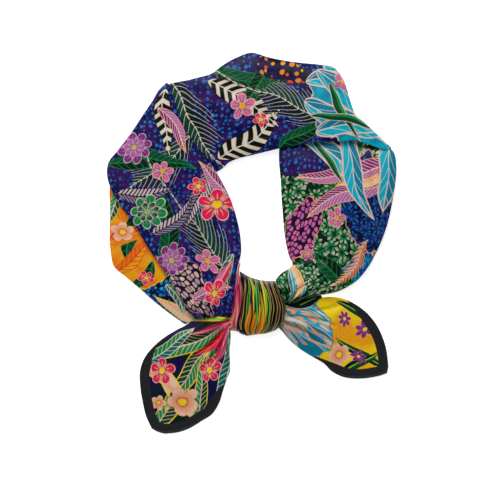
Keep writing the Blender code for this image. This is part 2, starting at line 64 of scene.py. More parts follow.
class Ink(Enum):
    """The printer's inks, as sRGB hex values."""

    INDIGO = "#120A48"
    VIOLET = "#330E58"
    ROYAL = "#0F368C"
    SKY = "#247CCA"
    NAVY = "#060724"
    PLUM = "#1C0726"
    PEBBLE = "#9182A0"
    ASH = "#CDBBBE"
    CREAM = "#E0D5C0"
    SOOT = "#0D0B0A"
    FOREST = "#042014"
    GRASS = "#07452A"
    EMERALD = "#0F8A4C"
    JADE = "#066A60"
    TURQUOISE = "#08B0CA"
    LAGOON = "#067E9E"
    LIME = "#8CC63A"
    SUN = "#F7D40F"
    GOLD = "#DDAE4E"
    AMBER = "#F2A516"
    ORANGE = "#EE7412"
    EMBER = "#DE3B1E"
    CRIMSON = "#CF0D3D"
    FUCHSIA = "#EA1560"
    ROSE = "#E86FA6"
    LILAC = "#B660A8"
    MAGENTA = "#8C2A7E"
    PURPLE = "#6A1576"
    PEACH = "#F0A478"
    BLUSH = "#EFC7AC"
    CHARCOAL = "#262729"


def linear(ink: Ink) -> tuple[float, float, float, float]:
    """The linear colour of an ink: c / 12.92 below 0.04045, else ((c + 0.055) / 1.055) ^ 2.4.

    Args:
        ink: the ink.

    Returns:
        Red, green, blue and alpha, for a node's colour socket.
    """
    channels = (int(ink.value[at : at + 2], 16) / 255 for at in (1, 3, 5))
    red, green, blue = (
        c / 12.92 if c <= 0.04045 else ((c + 0.055) / 1.055) ** 2.4 for c in channels
    )
    return red, green, blue, 1.0


# The property of a node that the word after the dot in its kind sets.
MODES = {
    "Math": "operation",
    "VectorMath": "operation",
    "Mix": "data_type",
    "Mapping": "vector_type",
    "TexNoise": "noise_dimensions",
    "TexVoronoi": "voronoi_dimensions",
    "TexWhiteNoise": "noise_dimensions",
    "VectorRotate": "rotation_type",
}


def add(tree: Tree, kind: str, *feeds: Any, **settings: Any) -> Node:
    """Adds a node with its settings and links.

    Args:
        tree: the tree that it goes in.
        kind: the node's type, without "ShaderNode", and its mode after a dot where it needs one.
        feeds: what goes to each input in use, in order: a node, which gives its first output
            in use, a socket, an ink, a plain value, or None to leave the input alone.
        settings: the node's own properties.

    Returns:
        The node.
    """
    kind, _, mode = kind.partition(".")
    node = tree.nodes.new("ShaderNode" + kind)
    if mode:
        settings[MODES[kind]] = mode
    for name, value in settings.items():
        setattr(node, name, value)
    for socket, feed in zip((s for s in node.inputs if s.enabled), feeds):
        if isinstance(feed, bpy.types.Node):
            feed = next(s for s in feed.outputs if s.enabled)
        if isinstance(feed, bpy.types.NodeSocket):
            tree.links.new(feed, socket)
        elif isinstance(feed, Ink):
            socket.default_value = linear(feed)
        elif feed is not None:
            socket.default_value = feed
    return node


def lay(tree: Tree, under: Any, over: Any, value: Any, start: float, end: float) -> Node:
    """Lays one colour over another where a value rises from start to end.

    Args:
        tree: the tree that the nodes go in.
        under: the colour below, as a feed of add.
        over: the colour on top.
        value: the value.
        start: where the upper colour begins to show.
        end: where it covers.

    Returns:
        The node with the colour.
    """
    return add(tree, "Mix.RGBA", add(tree, "MapRange", value, start, end), under, over)


def new_material(name: str, values: dict[str, Any]) -> tuple[bpy.types.Material, Tree, Node]:
    """Makes a material whose shader has plain values at some of its inputs.

    Args:
        name: the material's name.
        values: the values by the inputs' names.

    Returns:
        The material, its tree and its shader.
    """
    material = bpy.data.materials.new(name)
    material.use_nodes = True
    shader = material.node_tree.nodes["Principled BSDF"]
    for label, value in values.items():
        shader.inputs[label].default_value = value
    return material, material.node_tree, shader


def place_object(name: str, data: Any) -> bpy.types.Object:
    """Adds an object to the scene.

    Args:
        name: the object's name.
        data: its mesh, light or camera.

    Returns:
        The object.
    """
    added = bpy.data.objects.new(name, data)
    bpy.context.scene.collection.objects.link(added)
    return added


# ---- The print: a tropical design of its own, drawn in the cloth's flat millimetres ----


class Drawn:
    """A motif whose drawing is one node group, made once and used for each of its placings."""

    NAME: ClassVar[str] = ""
    SOCKETS: ClassVar[dict[str, str]] = {}

    @classmethod
    def draw(cls, tree: Tree, given: dict[str, Socket]) -> Node:
        """Adds the nodes of the drawing.

        Args:
            tree: the group.
            given: the group's inputs by name.

        Returns:
            The node that gives the colour of the cloth with the motif on it.
        """
        raise NotImplementedError

    @classmethod
    def group(cls) -> Tree:
        """The motif's node group, made the first time that it is asked for.

        Returns:
            The group.
        """
        if cls.NAME in bpy.data.node_groups:
            return bpy.data.node_groups[cls.NAME]
        tree = bpy.data.node_groups.new(cls.NAME, "ShaderNodeTree")
        for name, kind in cls.SOCKETS.items():
            tree.interface.new_socket(name=name, in_out="INPUT", socket_type="NodeSocket" + kind)
        tree.interface.new_socket(name="Cloth", in_out="OUTPUT", socket_type="NodeSocketColor")
        start = tree.nodes.new("NodeGroupInput")
        last = cls.draw(tree, {name: start.outputs[name] for name in cls.SOCKETS})
        end = tree.nodes.new("NodeGroupOutput")
        tree.links.new(next(s for s in last.outputs if s.enabled), end.inputs["Cloth"])
        return tree

    @classmethod
    def place(cls, tree: Tree, *feeds: Any) -> Node:
        """Adds the group to a tree.

        Args:
            tree: the material's tree.
            feeds: what goes to the group's inputs, in order.

        Returns:
            The group's node.
        """
        return add(tree, "Group", *feeds, node_tree=cls.group())


def placing(
    turn: float, length: float, width: float, x: float = 0.0, y: float = 0.0
) -> tuple[tuple[float, float, float], ...]:
    """What a Mapping node takes to turn places on the cloth into a motif's own.

    Args:
        turn: how far the motif is turned on the flat cloth, in degrees.
        length: the length along it that becomes 1.
        width: the width across it that becomes 1.
        x: where its root or its middle lies.
        y: the same, the other way.

    Returns:
        The node's location, rotation and scale.
    """
    return (x, y, 0.0), (0.0, 0.0, math.radians(turn)), (length, width, 1.0)


def bent(tree: Tree, given: dict[str, Socket]) -> tuple[Socket, Node, Node, Node]:
    """The axes of a motif whose middle line bows out by bend a (1 - a) at the share a.

    Args:
        tree: the motif's group.
        given: its inputs, with "Local" and "Bend".

    Returns:
        The share of the length, the same kept within 0 and 1, what is left of it up to 1, and
        the distance to the side of the middle line.
    """
    local = add(tree, "SeparateXYZ", given["Local"])
    a = add(tree, "Math.MULTIPLY", local.outputs[0], 1.0, use_clamp=True)
    rest = add(tree, "Math.SUBTRACT", 1.0, a)
    arch = add(tree, "Math.MULTIPLY", a, rest)
    y = add(tree, "Math.MULTIPLY_ADD", arch, given["Bend"], local.outputs[1])
    return local.outputs[0], a, rest, y


@dataclass(frozen=True)
class LeafStyle:
    """How a leaf is inked: its two halves, its rim and its veins."""

    blade: Ink
    shade: Ink
    rim: Ink
    vein: Ink
    rim_width: float = 0.7
    vein_gap: float = 5.0
    vein_share: float = 0.08
    lean: float = 1.1


@dataclass(frozen=True)
class Leaf(Drawn):
    """A bent leaf. Its half width is 1.9 width a^0.55 (1 - a)^0.9 at the share a of its length.

    Its veins are lines where (x - lean |y|) / gap is near a whole number.
    """

    x: float
    y: float
    turn: float
    length: float
    width: float
    bend: float
    style: LeafStyle

    NAME: ClassVar[str] = "printed_leaf"
    SOCKETS: ClassVar[dict[str, str]] = {
        "Cloth": "Color", "Local": "Vector", "Length": "Float", "Width": "Float", "Bend": "Float",
        "Blade": "Color", "Shade": "Color", "Rim": "Color", "Vein": "Color", "Rim width": "Float",
        "Vein pitch": "Float", "Vein share": "Float", "Lean": "Float",
    }

    @classmethod
    def draw(cls, tree: Tree, given: dict[str, Socket]) -> Node:
        """Adds the leaf's nodes, as Drawn.draw says."""
        _, a, rest, y = bent(tree, given)
        root_side = add(tree, "Math.POWER", a, 0.55)
        tip_side = add(tree, "Math.POWER", rest, 0.9)
        profile = add(tree, "Math.MULTIPLY", root_side, tip_side)
        half = add(tree, "Math.MULTIPLY", profile, given["Width"])
        x = add(tree, "Math.MULTIPLY", a, given["Length"])
        off = add(tree, "Math.ABSOLUTE", y)
        depth = add(tree, "Math.SUBTRACT", half, off)

        lag = add(tree, "Math.MULTIPLY", off, given["Lean"])
        ahead = add(tree, "Math.SUBTRACT", x, lag)
        wave = add(tree, "Math.MULTIPLY", ahead, given["Vein pitch"])
        fold = add(tree, "Math.PINGPONG", wave, 0.5)
        gap = add(tree, "Math.SUBTRACT", given["Vein share"], fold)
        veins = add(tree, "MapRange", gap, -0.03, 0.03)
        midrib = add(tree, "MapRange", off, 0.35, 0.75, 1.0, 0.0)
        lines = add(tree, "Math.MAXIMUM", veins, midrib)

        blade = lay(tree, given["Blade"], given["Shade"], y, -0.3, 0.3)
        inked = add(tree, "Mix.RGBA", lines, blade, given["Vein"])
        edge = add(tree, "Math.SUBTRACT", given["Rim width"], depth)
        leaf = lay(tree, inked, given["Rim"], edge, -0.15, 0.15)
        return lay(tree, given["Cloth"], leaf, depth, -0.1, 0.3)

    def paint(self, tree: Tree, at: Socket, cloth: Node) -> Node:
        """Prints the leaf on the cloth.

        Args:
            tree: the material's tree.
            at: the place on the flat cloth, in millimetres.
            cloth: the colour there so far.

        Returns:
            The node with the new colour.
        """
        axes = placing(self.turn, self.length, 1.0, self.x, self.y)
        local = add(tree, "Mapping.TEXTURE", at, *axes)
        look = self.style
        sizes = (self.length, 1.9 * self.width, -4.0 * self.bend)
        inks = (look.blade, look.shade, look.rim, look.vein)
        lines = (look.rim_width, 1.0 / look.vein_gap, look.vein_share, look.lean)
        return self.place(tree, cloth, local, *sizes, *inks, *lines)


@dataclass(frozen=True)
class FrondStyle:
    """How a palm frond is inked, and how far apart its blades are."""

    blade: Ink
    shade: Ink
    rim: Ink
    blade_gap: float = 8.5
    lean: float = 1.1


@dataclass(frozen=True)
class Frond(Drawn):
    """A palm frond: slender blades that leave a bent midrib at a slant and taper outwards.

    Each blade's half width is 0.46 (1 - s^2.2) of its gap, s being the share of the way out to
    the frond's edge, and a pale line follows its side towards the root.
    """

    x: float
    y: float
    turn: float
    length: float
    width: float
    bend: float
    style: FrondStyle

    NAME: ClassVar[str] = "printed_frond"
    SOCKETS: ClassVar[dict[str, str]] = {
        "Cloth": "Color", "Local": "Vector", "Length": "Float", "Width": "Float", "Bend": "Float",
        "Blade": "Color", "Shade": "Color", "Rim": "Color", "Blade pitch": "Float",
        "Lean": "Float",
    }

    @classmethod
    def draw(cls, tree: Tree, given: dict[str, Socket]) -> Node:
        """Adds the frond's nodes, as Drawn.draw says."""
        a, _, _, y = bent(tree, given)
        off = add(tree, "Math.ABSOLUTE", y)
        x = add(tree, "Math.MULTIPLY", a, given["Length"])
        slope = add(tree, "Math.MULTIPLY_ADD", off, 0.035, given["Lean"])
        lag = add(tree, "Math.MULTIPLY", off, slope)
        rooted = add(tree, "Math.SUBTRACT", x, lag)
        station = add(tree, "Math.MULTIPLY", rooted, given["Blade pitch"])
        number = add(tree, "Math.FLOOR", station)
        uneven = add(tree, "TexWhiteNoise.1D", number)
        stretch = add(tree, "MapRange", uneven, 0.0, 1.0, 0.7, 1.0)

        # The reach of a blade is set where it leaves the midrib, so the blade keeps one length.
        share = add(tree, "Math.DIVIDE", rooted, given["Length"])
        low = add(tree, "MapRange", share, -0.06, 0.12)
        high = add(tree, "MapRange", share, 0.55, 1.0, 1.0, 0.1)
        reach = add(tree, "Math.MULTIPLY", low, high)
        reach = add(tree, "Math.MULTIPLY", reach, given["Width"])
        reach = add(tree, "Math.MULTIPLY", reach, stretch)
        reach = add(tree, "Math.MAXIMUM", reach, 0.01)
        out = add(tree, "Math.DIVIDE", off, reach)
        taper = add(tree, "Math.POWER", out, 2.2)
        half = add(tree, "Math.MULTIPLY_ADD", taper, -0.46, 0.46)
        spine = add(tree, "Math.FRACT", station)
        spine = add(tree, "Math.SUBTRACT", spine, 0.5)
        depth = add(tree, "Math.ABSOLUTE", spine)
        depth = add(tree, "Math.SUBTRACT", half, depth)
        inside = add(tree, "MapRange", depth, 0.0, 0.07)
        lit = add(tree, "Math.ADD", half, spine)
        core = add(tree, "MapRange", lit, 0.1, 0.17)
        stalk = add(tree, "MapRange", off, 0.35, 0.65)
        core = add(tree, "Math.MULTIPLY", core, stalk)
        kept = add(tree, "MapRange", reach, 0.5, 1.5)
        inside = add(tree, "Math.MULTIPLY", inside, kept)
        blade = lay(tree, given["Blade"], given["Shade"], y, -0.3, 0.3)
        inked = add(tree, "Mix.RGBA", core, given["Rim"], blade)
        return add(tree, "Mix.RGBA", inside, given["Cloth"], inked)

    def paint(self, tree: Tree, at: Socket, cloth: Node) -> Node:
        """Prints the frond on the cloth, as Leaf.paint does a leaf."""
        axes = placing(self.turn, self.length, 1.0, self.x, self.y)
        local = add(tree, "Mapping.TEXTURE", at, *axes)
        look = self.style
        sizes = (self.length, self.width, -4.0 * self.bend)
        inks = (look.blade, look.shade, look.rim)
        return self.place(tree, cloth, local, *sizes, *inks, 1.0 / look.blade_gap, look.lean)


@dataclass(frozen=True)
class BloomStyle:
    """How a flower is inked, and the cut of its petals."""

    inner: Ink
    outer: Ink
    line: Ink
    heart: Ink
    petals: float = 5.0
    notch: float = 0.55
    sharp: float = 2.0


@dataclass(frozen=True)
class Bloom(Drawn):
    """A flower. Its edge is at the radius times 1 - notch f^sharp, f being 0 at a petal's middle.

    Fine lines run out along each petal, and a heart of a fifth of its size is in the middle.
    """

    x: float
    y: float
    turn: float
    radius: float
    style: BloomStyle

    NAME: ClassVar[str] = "printed_bloom"
    SOCKETS: ClassVar[dict[str, str]] = {
        "Cloth": "Color", "Local": "Vector", "Petals": "Float", "Notch": "Float",
        "Sharp": "Float", "Inner": "Color", "Outer": "Color", "Line": "Color", "Heart": "Color",
    }

    @classmethod
    def draw(cls, tree: Tree, given: dict[str, Socket]) -> Node:
        """Adds the flower's nodes, as Drawn.draw says."""
        local = add(tree, "SeparateXYZ", given["Local"])
        radius = add(tree, "VectorMath.LENGTH", given["Local"])
        radius = radius.outputs["Value"]
        angle = add(tree, "Math.ARCTAN2", local.outputs[1], local.outputs[0])
        lap = add(tree, "Math.MULTIPLY", angle, given["Petals"])
        fold = add(tree, "Math.PINGPONG", lap, 0.5)
        f = add(tree, "Math.MULTIPLY", fold, 2.0)
        cut = add(tree, "Math.POWER", f, given["Sharp"])
        cut = add(tree, "Math.MULTIPLY", cut, given["Notch"])
        edge = add(tree, "Math.SUBTRACT", 1.0, cut)
        depth = add(tree, "Math.SUBTRACT", edge, radius)
        petal = lay(tree, given["Inner"], given["Outer"], radius, 0.15, 0.85)
        fine = add(tree, "Math.MULTIPLY", lap, 3.0)
        fine = add(tree, "Math.PINGPONG", fine, 0.5)
        fine = add(tree, "Math.MULTIPLY_ADD", radius, 0.5, fine)
        fine = add(tree, "MapRange", fine, 0.30, 0.42, 0.8, 0.0)
        apart = add(tree, "MapRange", f, 0.84, 0.92)
        lines = add(tree, "Math.MAXIMUM", fine, apart)
        rim = add(tree, "MapRange", depth, 0.05, 0.08, 1.0, 0.0)
        lines = add(tree, "Math.MAXIMUM", lines, rim)
        inked = add(tree, "Mix.RGBA", lines, petal, given["Line"])
        ring = add(tree, "Math.SUBTRACT", radius, 0.31)
        ring = add(tree, "Math.ABSOLUTE", ring)
        spots = add(tree, "Math.MULTIPLY", lap, 4.0)
        spots = add(tree, "Math.PINGPONG", spots, 0.5)
        spots = add(tree, "Math.MULTIPLY", spots, 0.2)
        spots = add(tree, "Math.ADD", spots, ring)
        spots = add(tree, "MapRange", spots, 0.04, 0.07, 1.0, 0.0)
        inked = add(tree, "Mix.RGBA", spots, inked, Ink.SOOT)
        heart = add(tree, "MapRange", radius, 0.19, 0.22, 1.0, 0.0)
        inked = add(tree, "Mix.RGBA", heart, inked, given["Heart"])
        return lay(tree, given["Cloth"], inked, depth, 0.0, 0.03)

    def paint(self, tree: Tree, at: Socket, cloth: Node) -> Node:
        """Prints the flower on the cloth, as Leaf.paint does a leaf."""
        axes = placing(self.turn, self.radius, self.radius, self.x, self.y)
        local = add(tree, "Mapping.TEXTURE", at, *axes)
        look = self.style
        petals = (look.petals / math.tau, look.notch, look.sharp)
        inks = (look.inner, look.outer, look.line, look.heart)
        return self.place(tree, cloth, local, *petals, *inks)


@dataclass(frozen=True)
class Dots(Drawn):
    """Round dots of uneven size, one in each cell of a scatter, on a ground of two inks."""

    cell: float = 5.4
    light: Ink = Ink.SKY
    dark: Ink = Ink.ROYAL
    ground: Ink = Ink.INDIGO
    drift: Ink = Ink.VIOLET

    NAME: ClassVar[str] = "printed_dots"
    SOCKETS: ClassVar[dict[str, str]] = {
        "At": "Vector", "Per mm": "Float", "Light": "Color", "Dark": "Color", "Ground": "Color",
        "Drift": "Color",
    }

    @classmethod
    def draw(cls, tree: Tree, given: dict[str, Socket]) -> Node:
        """Adds the nodes of the dots, as Drawn.draw says."""
        scatter = (given["At"], given["Per mm"], None, None, None, 0.75)
        cells = add(tree, "TexVoronoi.2D", *scatter)
        chance = add(tree, "SeparateColor", cells.outputs["Color"])
        size = add(tree, "MapRange", chance.outputs[0], 0.0, 1.0, 0.12, 0.4)
        depth = add(tree, "Math.SUBTRACT", size, cells.outputs["Distance"])
        tone = add(tree, "Mix.RGBA", chance.outputs[1], given["Dark"], given["Light"])
        cloud = add(tree, "TexNoise.2D", given["At"], 0.06, 2.0)
        ground = lay(tree, given["Ground"], given["Drift"], cloud, 0.42, 0.58)
        return lay(tree, ground, tone, depth, -0.02, 0.06)

    def fill(self, tree: Tree, at: Socket) -> Node:
        """The pattern's colour at a place.

        Args:
            tree: the material's tree.
            at: the place on the flat cloth, in millimetres.

        Returns:
            The node with the colour.
        """
        return self.place(tree, at, 1.0 / self.cell, self.light, self.dark, self.ground, self.drift)


@dataclass(frozen=True)
class Pebbles(Drawn):
    """Rounded stones that nearly touch, drawn out along one direction: cells with a dark joint."""

    cell: float = 4.4
    turn: float = -50.0
    long: float = 1.7
    light: Ink = Ink.PEBBLE
    dark: Ink = Ink.BLUSH
    joint: Ink = Ink.PLUM

    NAME: ClassVar[str] = "printed_pebbles"
    SOCKETS: ClassVar[dict[str, str]] = {
        "At": "Vector", "Light": "Color", "Dark": "Color", "Joint": "Color",
    }

    @classmethod
    def draw(cls, tree: Tree, given: dict[str, Socket]) -> Node:
        """Adds the nodes of the pebbles, as Drawn.draw says."""
        scatter = (given["At"], 1.0, None, None, None, 0.8)
        apart = add(tree, "TexVoronoi.2D", *scatter, feature="DISTANCE_TO_EDGE")
        cells = add(tree, "TexVoronoi.2D", *scatter)
        chance = add(tree, "SeparateColor", cells.outputs["Color"])
        stone = add(tree, "MapRange", apart, 0.07, 0.14)
        blunt = add(tree, "MapRange", cells, 0.4, 0.48, 1.0, 0.0)
        stone = add(tree, "Math.MULTIPLY", stone, blunt)
        tone = add(tree, "Mix.RGBA", chance.outputs[0], given["Light"], given["Dark"])
        return add(tree, "Mix.RGBA", stone, given["Joint"], tone)

    def fill(self, tree: Tree, at: Socket) -> Node:
        """The pattern's colour at a place, as Dots.fill gives it."""
        axes = placing(self.turn, self.cell * self.long, self.cell)
        local = add(tree, "Mapping.TEXTURE", at, *axes)
        return self.place(tree, local, self.light, self.dark, self.joint)


@dataclass(frozen=True)
class Sprigs(Drawn):
    """Rosettes of seven leaflets over a scatter of single leaflets, on a dark ground.

    A rosette's leaflet at the share r of its cell is as wide as sin(pi (r - 0.1) / 0.9).
    """

    cell: float = 16.0
    root: Ink = Ink.EMERALD
    tip: Ink = Ink.CREAM
    ground: Ink = Ink.FOREST

    NAME: ClassVar[str] = "printed_sprigs"
    SOCKETS: ClassVar[dict[str, str]] = {
        "At": "Vector", "Per mm": "Float", "Root": "Color", "Tip": "Color", "Ground": "Color",
    }

    @classmethod
    def draw(cls, tree: Tree, given: dict[str, Socket]) -> Node:
        """Adds the nodes of the sprigs, as Drawn.draw says."""
        scaled = add(tree, "VectorMath.SCALE", given["At"], given["Per mm"])
        cells = add(tree, "TexVoronoi.2D", scaled, 1.0, None, None, None, 0.7)
        offset = add(tree, "VectorMath.SUBTRACT", scaled, cells.outputs["Position"])
        chance = add(tree, "SeparateColor", cells.outputs["Color"])
        local = add(tree, "SeparateXYZ", offset)
        angle = add(tree, "Math.ARCTAN2", local.outputs[1], local.outputs[0])
        lap = add(tree, "Math.MULTIPLY_ADD", angle, 7.0 / math.tau, chance.outputs[0])
        fold = add(tree, "Math.PINGPONG", lap, 0.5)
        size = add(tree, "MapRange", chance.outputs[1], 0.0, 1.0, 0.48, 0.62)
        r = add(tree, "Math.DIVIDE", cells.outputs["Distance"], size)
        swell = add(tree, "MapRange", r, 0.1, 1.0, 0.0, math.pi)
        swell = add(tree, "Math.SINE", swell)
        depth = add(tree, "Math.MULTIPLY", swell, 0.36)
        depth = add(tree, "Math.SUBTRACT", depth, fold)
        tone = lay(tree, given["Root"], given["Tip"], r, 0.42, 0.95)

        small = add(tree, "TexVoronoi.2D", scaled, 2.7, None, None, None, 0.8)
        pick = add(tree, "SeparateColor", small.outputs["Color"])
        turn = add(tree, "Math.MULTIPLY", pick.outputs[0], math.tau)
        away = add(tree, "VectorMath.SUBTRACT", scaled, small.outputs["Position"])
        away = add(tree, "VectorRotate.Z_AXIS", away, None, turn)
        away = add(tree, "VectorMath.MULTIPLY", away, (5.4, 13.5, 1.0))
        away = add(tree, "VectorMath.LENGTH", away)
        single = add(tree, "MapRange", away.outputs["Value"], 0.85, 1.15, 1.0, 0.0)
        shade = lay(tree, given["Root"], given["Tip"], pick.outputs[1], 0.88, 0.9)
        under = add(tree, "Mix.RGBA", single, given["Ground"], shade)
        under = lay(tree, under, given["Ground"], depth, -0.1, 0.0)
        return lay(tree, under, tone, depth, 0.0, 0.06)

    def fill(self, tree: Tree, at: Socket) -> Node:
        """The pattern's colour at a place, as Dots.fill gives it."""
        return self.place(tree, at, 1.0 / self.cell, self.root, self.tip, self.ground)


@dataclass(frozen=True)
class Wash:
    """A ground of one ink that drifts softly into another."""

    ink: Ink
    drift: Ink

    def fill(self, tree: Tree, at: Socket) -> Node:
        """The ground's colour at a place, as Dots.fill gives it."""
        cloud = add(tree, "TexNoise.2D", at, 0.035, 2.0)
        return lay(tree, self.ink, self.drift, cloud, 0.4, 0.62)


@dataclass(frozen=True)
class Streaks(Drawn):
    """Nested flame streaks in four inks: the steps of a noise drawn out along one direction."""

    inks: tuple[Ink, Ink, Ink, Ink]
    turn: float = 90.0
    width: float = 5.0
    length: float = 34.0

    NAME: ClassVar[str] = "printed_streaks"
    SOCKETS: ClassVar[dict[str, str]] = {
        "At": "Vector", "First": "Color", "Second": "Color", "Third": "Color", "Fourth": "Color",
    }

    @classmethod
    def draw(cls, tree: Tree, given: dict[str, Socket]) -> Node:
        """Adds the nodes of the streaks, as Drawn.draw says."""
        level = add(tree, "TexNoise.2D", given["At"], 1.0, 1.0, 0.5, None, 0.2)
        cloth = given["First"]
        for start, end, ink in ((0.42, 0.44, "Second"), (0.5, 0.52, "Third"), (0.58, 0.6, "Fourth")):
            cloth = lay(tree, cloth, given[ink], level, start, end)
        return cloth

    def fill(self, tree: Tree, at: Socket) -> Node:
        """The pattern's colour at a place, as Dots.fill gives it."""
        axes = placing(self.turn, self.length, self.width)
        local = add(tree, "Mapping.TEXTURE", at, *axes)
        return self.place(tree, local, *self.inks)


Ground = Dots | Pebbles | Sprigs | Streaks | Wash


@dataclass(frozen=True)
class Patch(Drawn):
    """A ragged oval of another ground, with a fine line round it."""

    x: float
    y: float
    turn: float
    length: float
    width: float
    ground: Ground
    line: Ink

    NAME: ClassVar[str] = "printed_patch"
    SOCKETS: ClassVar[dict[str, str]] = {
        "Cloth": "Color", "Local": "Vector", "At": "Vector", "Patch": "Color", "Line": "Color",
    }

    @classmethod
    def draw(cls, tree: Tree, given: dict[str, Socket]) -> Node:
        """Adds the nodes of the patch, as Drawn.draw says."""
        radius = add(tree, "VectorMath.LENGTH", given["Local"])
        rough = add(tree, "TexNoise.2D", given["At"], 0.06, 1.0, 0.5)
        ragged = add(tree, "Math.MULTIPLY_ADD", rough, 0.6, -0.3)
        edge = add(tree, "Math.ADD", 1.0, ragged)
        depth = add(tree, "Math.SUBTRACT", edge, radius.outputs["Value"])
        lined = lay(tree, given["Line"], given["Patch"], depth, 0.035, 0.055)
        return lay(tree, given["Cloth"], lined, depth, 0.0, 0.02)

    def paint(self, tree: Tree, at: Socket, cloth: Node) -> Node:
        """Prints the patch on the cloth, as Leaf.paint does a leaf."""
        axes = placing(self.turn, self.length, self.width, self.x, self.y)
        local = add(tree, "Mapping.TEXTURE", at, *axes)
        return self.place(tree, cloth, local, at, self.ground.fill(tree, at), self.line)


Motif = Leaf | Frond | Bloom | Patch

BANANA = LeafStyle(Ink.EMERALD, Ink.GRASS, Ink.LIME, Ink.CREAM, 0.8, 5.0, 0.07)
PALE_BANANA = LeafStyle(Ink.JADE, Ink.EMERALD, Ink.CREAM, Ink.CREAM, 0.8, 6.0, 0.06)
GOLD_EDGED = LeafStyle(Ink.GRASS, Ink.EMERALD, Ink.SUN, Ink.BLUSH, 1.1, 6.0, 0.07)
DRY = LeafStyle(Ink.PEACH, Ink.BLUSH, Ink.SUN, Ink.BLUSH, 1.1, 4.0, 0.14)
STRIPED = LeafStyle(Ink.SOOT, Ink.SOOT, Ink.SOOT, Ink.CREAM, 0.9, 10.5, 0.22, 0.8)
WATER = LeafStyle(Ink.TURQUOISE, Ink.LAGOON, Ink.CREAM, Ink.CREAM, 0.7, 80.0, 0.0)
PETAL = LeafStyle(Ink.CRIMSON, Ink.FUCHSIA, Ink.CRIMSON, Ink.ORANGE, 0.4, 14.0, 0.06, 2.6)
# A painted highlight: a pale blush streak, drawn as a leaf, that stands for the gloss along the
# twisted strand.
PAINTED_HIGHLIGHT = LeafStyle(Ink.BLUSH, Ink.ROSE, Ink.FUCHSIA, Ink.BLUSH, 0.4, 60.0, 0.0)
PINK_PETAL = LeafStyle(Ink.FUCHSIA, Ink.ROSE, Ink.CRIMSON, Ink.BLUSH, 0.9, 60.0, 0.0)
FLAME = LeafStyle(Ink.SUN, Ink.LIME, Ink.AMBER, Ink.EMERALD, 1.2, 80.0, 0.0)
REED = LeafStyle(Ink.SOOT, Ink.NAVY, Ink.GOLD, Ink.SOOT, 1.5, 80.0, 0.0)
GREEN_REED = LeafStyle(Ink.EMERALD, Ink.GRASS, Ink.LIME, Ink.FOREST, 1.5, 80.0, 0.0)
TONGUE = LeafStyle(Ink.ORANGE, Ink.AMBER, Ink.SUN, Ink.EMBER, 0.5, 80.0, 0.0)
BEAN = LeafStyle(Ink.GRASS, Ink.FOREST, Ink.FOREST, Ink.LIME, 0.5, 80.0, 0.0)
ASH_LEAF = LeafStyle(Ink.PEBBLE, Ink.ASH, Ink.PLUM, Ink.PLUM, 0.8, 4.6, 0.2)
ORCHID = LeafStyle(Ink.MAGENTA, Ink.LILAC, Ink.PEACH, Ink.BLUSH, 0.8, 5.0, 0.09, 1.6)
CROTON = LeafStyle(Ink.ORANGE, Ink.EMBER, Ink.AMBER, Ink.AMBER, 0.8, 6.0, 0.1, 1.5)
AMBER_CROTON = LeafStyle(Ink.AMBER, Ink.ORANGE, Ink.EMBER, Ink.EMBER, 0.8, 7.0, 0.1, 1.5)
DEEP_LEAF = LeafStyle(Ink.FOREST, Ink.GRASS, Ink.EMERALD, Ink.EMERALD, 0.6, 7.0, 0.05)
LAGOON_LEAF = LeafStyle(Ink.TURQUOISE, Ink.LAGOON, Ink.BLUSH, Ink.CREAM, 1.6, 16.0, 0.04, 2.4)
GRASS_BLADE = LeafStyle(Ink.GRASS, Ink.EMERALD, Ink.BLUSH, Ink.GRASS, 0.7, 80.0, 0.0)

SEA_DOTS = Dots(5.4, Ink.SKY, Ink.TURQUOISE, Ink.ROYAL, Ink.NAVY)
WATER_DOTS = Dots(4.0, Ink.SKY, Ink.TURQUOISE, Ink.ROYAL, Ink.LAGOON)
FIRE_DOTS = Dots(7.6, Ink.AMBER, Ink.EMBER, Ink.NAVY, Ink.INDIGO)
BLUE_SPRIGS = Sprigs(12.0, Ink.ROYAL, Ink.SKY, Ink.NAVY)
ROSE_PEBBLES = Pebbles(4.6, 60.0, 1.4, Ink.ROSE, Ink.LILAC, Ink.PLUM)
WATER_STREAKS = Streaks((Ink.LAGOON, Ink.PEACH, Ink.TURQUOISE, Ink.CREAM), -34.0, 6.5, 46.0)

PALM = FrondStyle(Ink.GRASS, Ink.FOREST, Ink.CREAM, 7.6, 1.1)
PEACH_PALM = FrondStyle(Ink.PEACH, Ink.ORANGE, Ink.BLUSH, 4.4, 0.9)

FRANGIPANI = BloomStyle(Ink.MAGENTA, Ink.ROSE, Ink.BLUSH, Ink.AMBER, 5, 0.52, 2.0)
HIBISCUS = BloomStyle(Ink.EMBER, Ink.FUCHSIA, Ink.BLUSH, Ink.SUN, 5, 0.46, 2.2)
SUCCULENT = BloomStyle(Ink.GRASS, Ink.EMERALD, Ink.CREAM, Ink.GRASS, 8, 0.34, 2.2)
GREEN_HEART = BloomStyle(Ink.JADE, Ink.GRASS, Ink.CREAM, Ink.LIME, 8, 0.34, 2.2)
DAHLIA = BloomStyle(Ink.PURPLE, Ink.MAGENTA, Ink.ASH, Ink.PLUM, 8, 0.34, 2.2)
LILAC_HEART = BloomStyle(Ink.MAGENTA, Ink.LILAC, Ink.ASH, Ink.GOLD, 8, 0.34, 2.2)
PEACH_BLOOM = BloomStyle(Ink.ORANGE, Ink.BLUSH, Ink.PEACH, Ink.SUN, 5, 0.4, 2.4)
VIOLET_BLOOM = BloomStyle(Ink.PURPLE, Ink.MAGENTA, Ink.LILAC, Ink.SUN, 7, 0.5, 1.6)


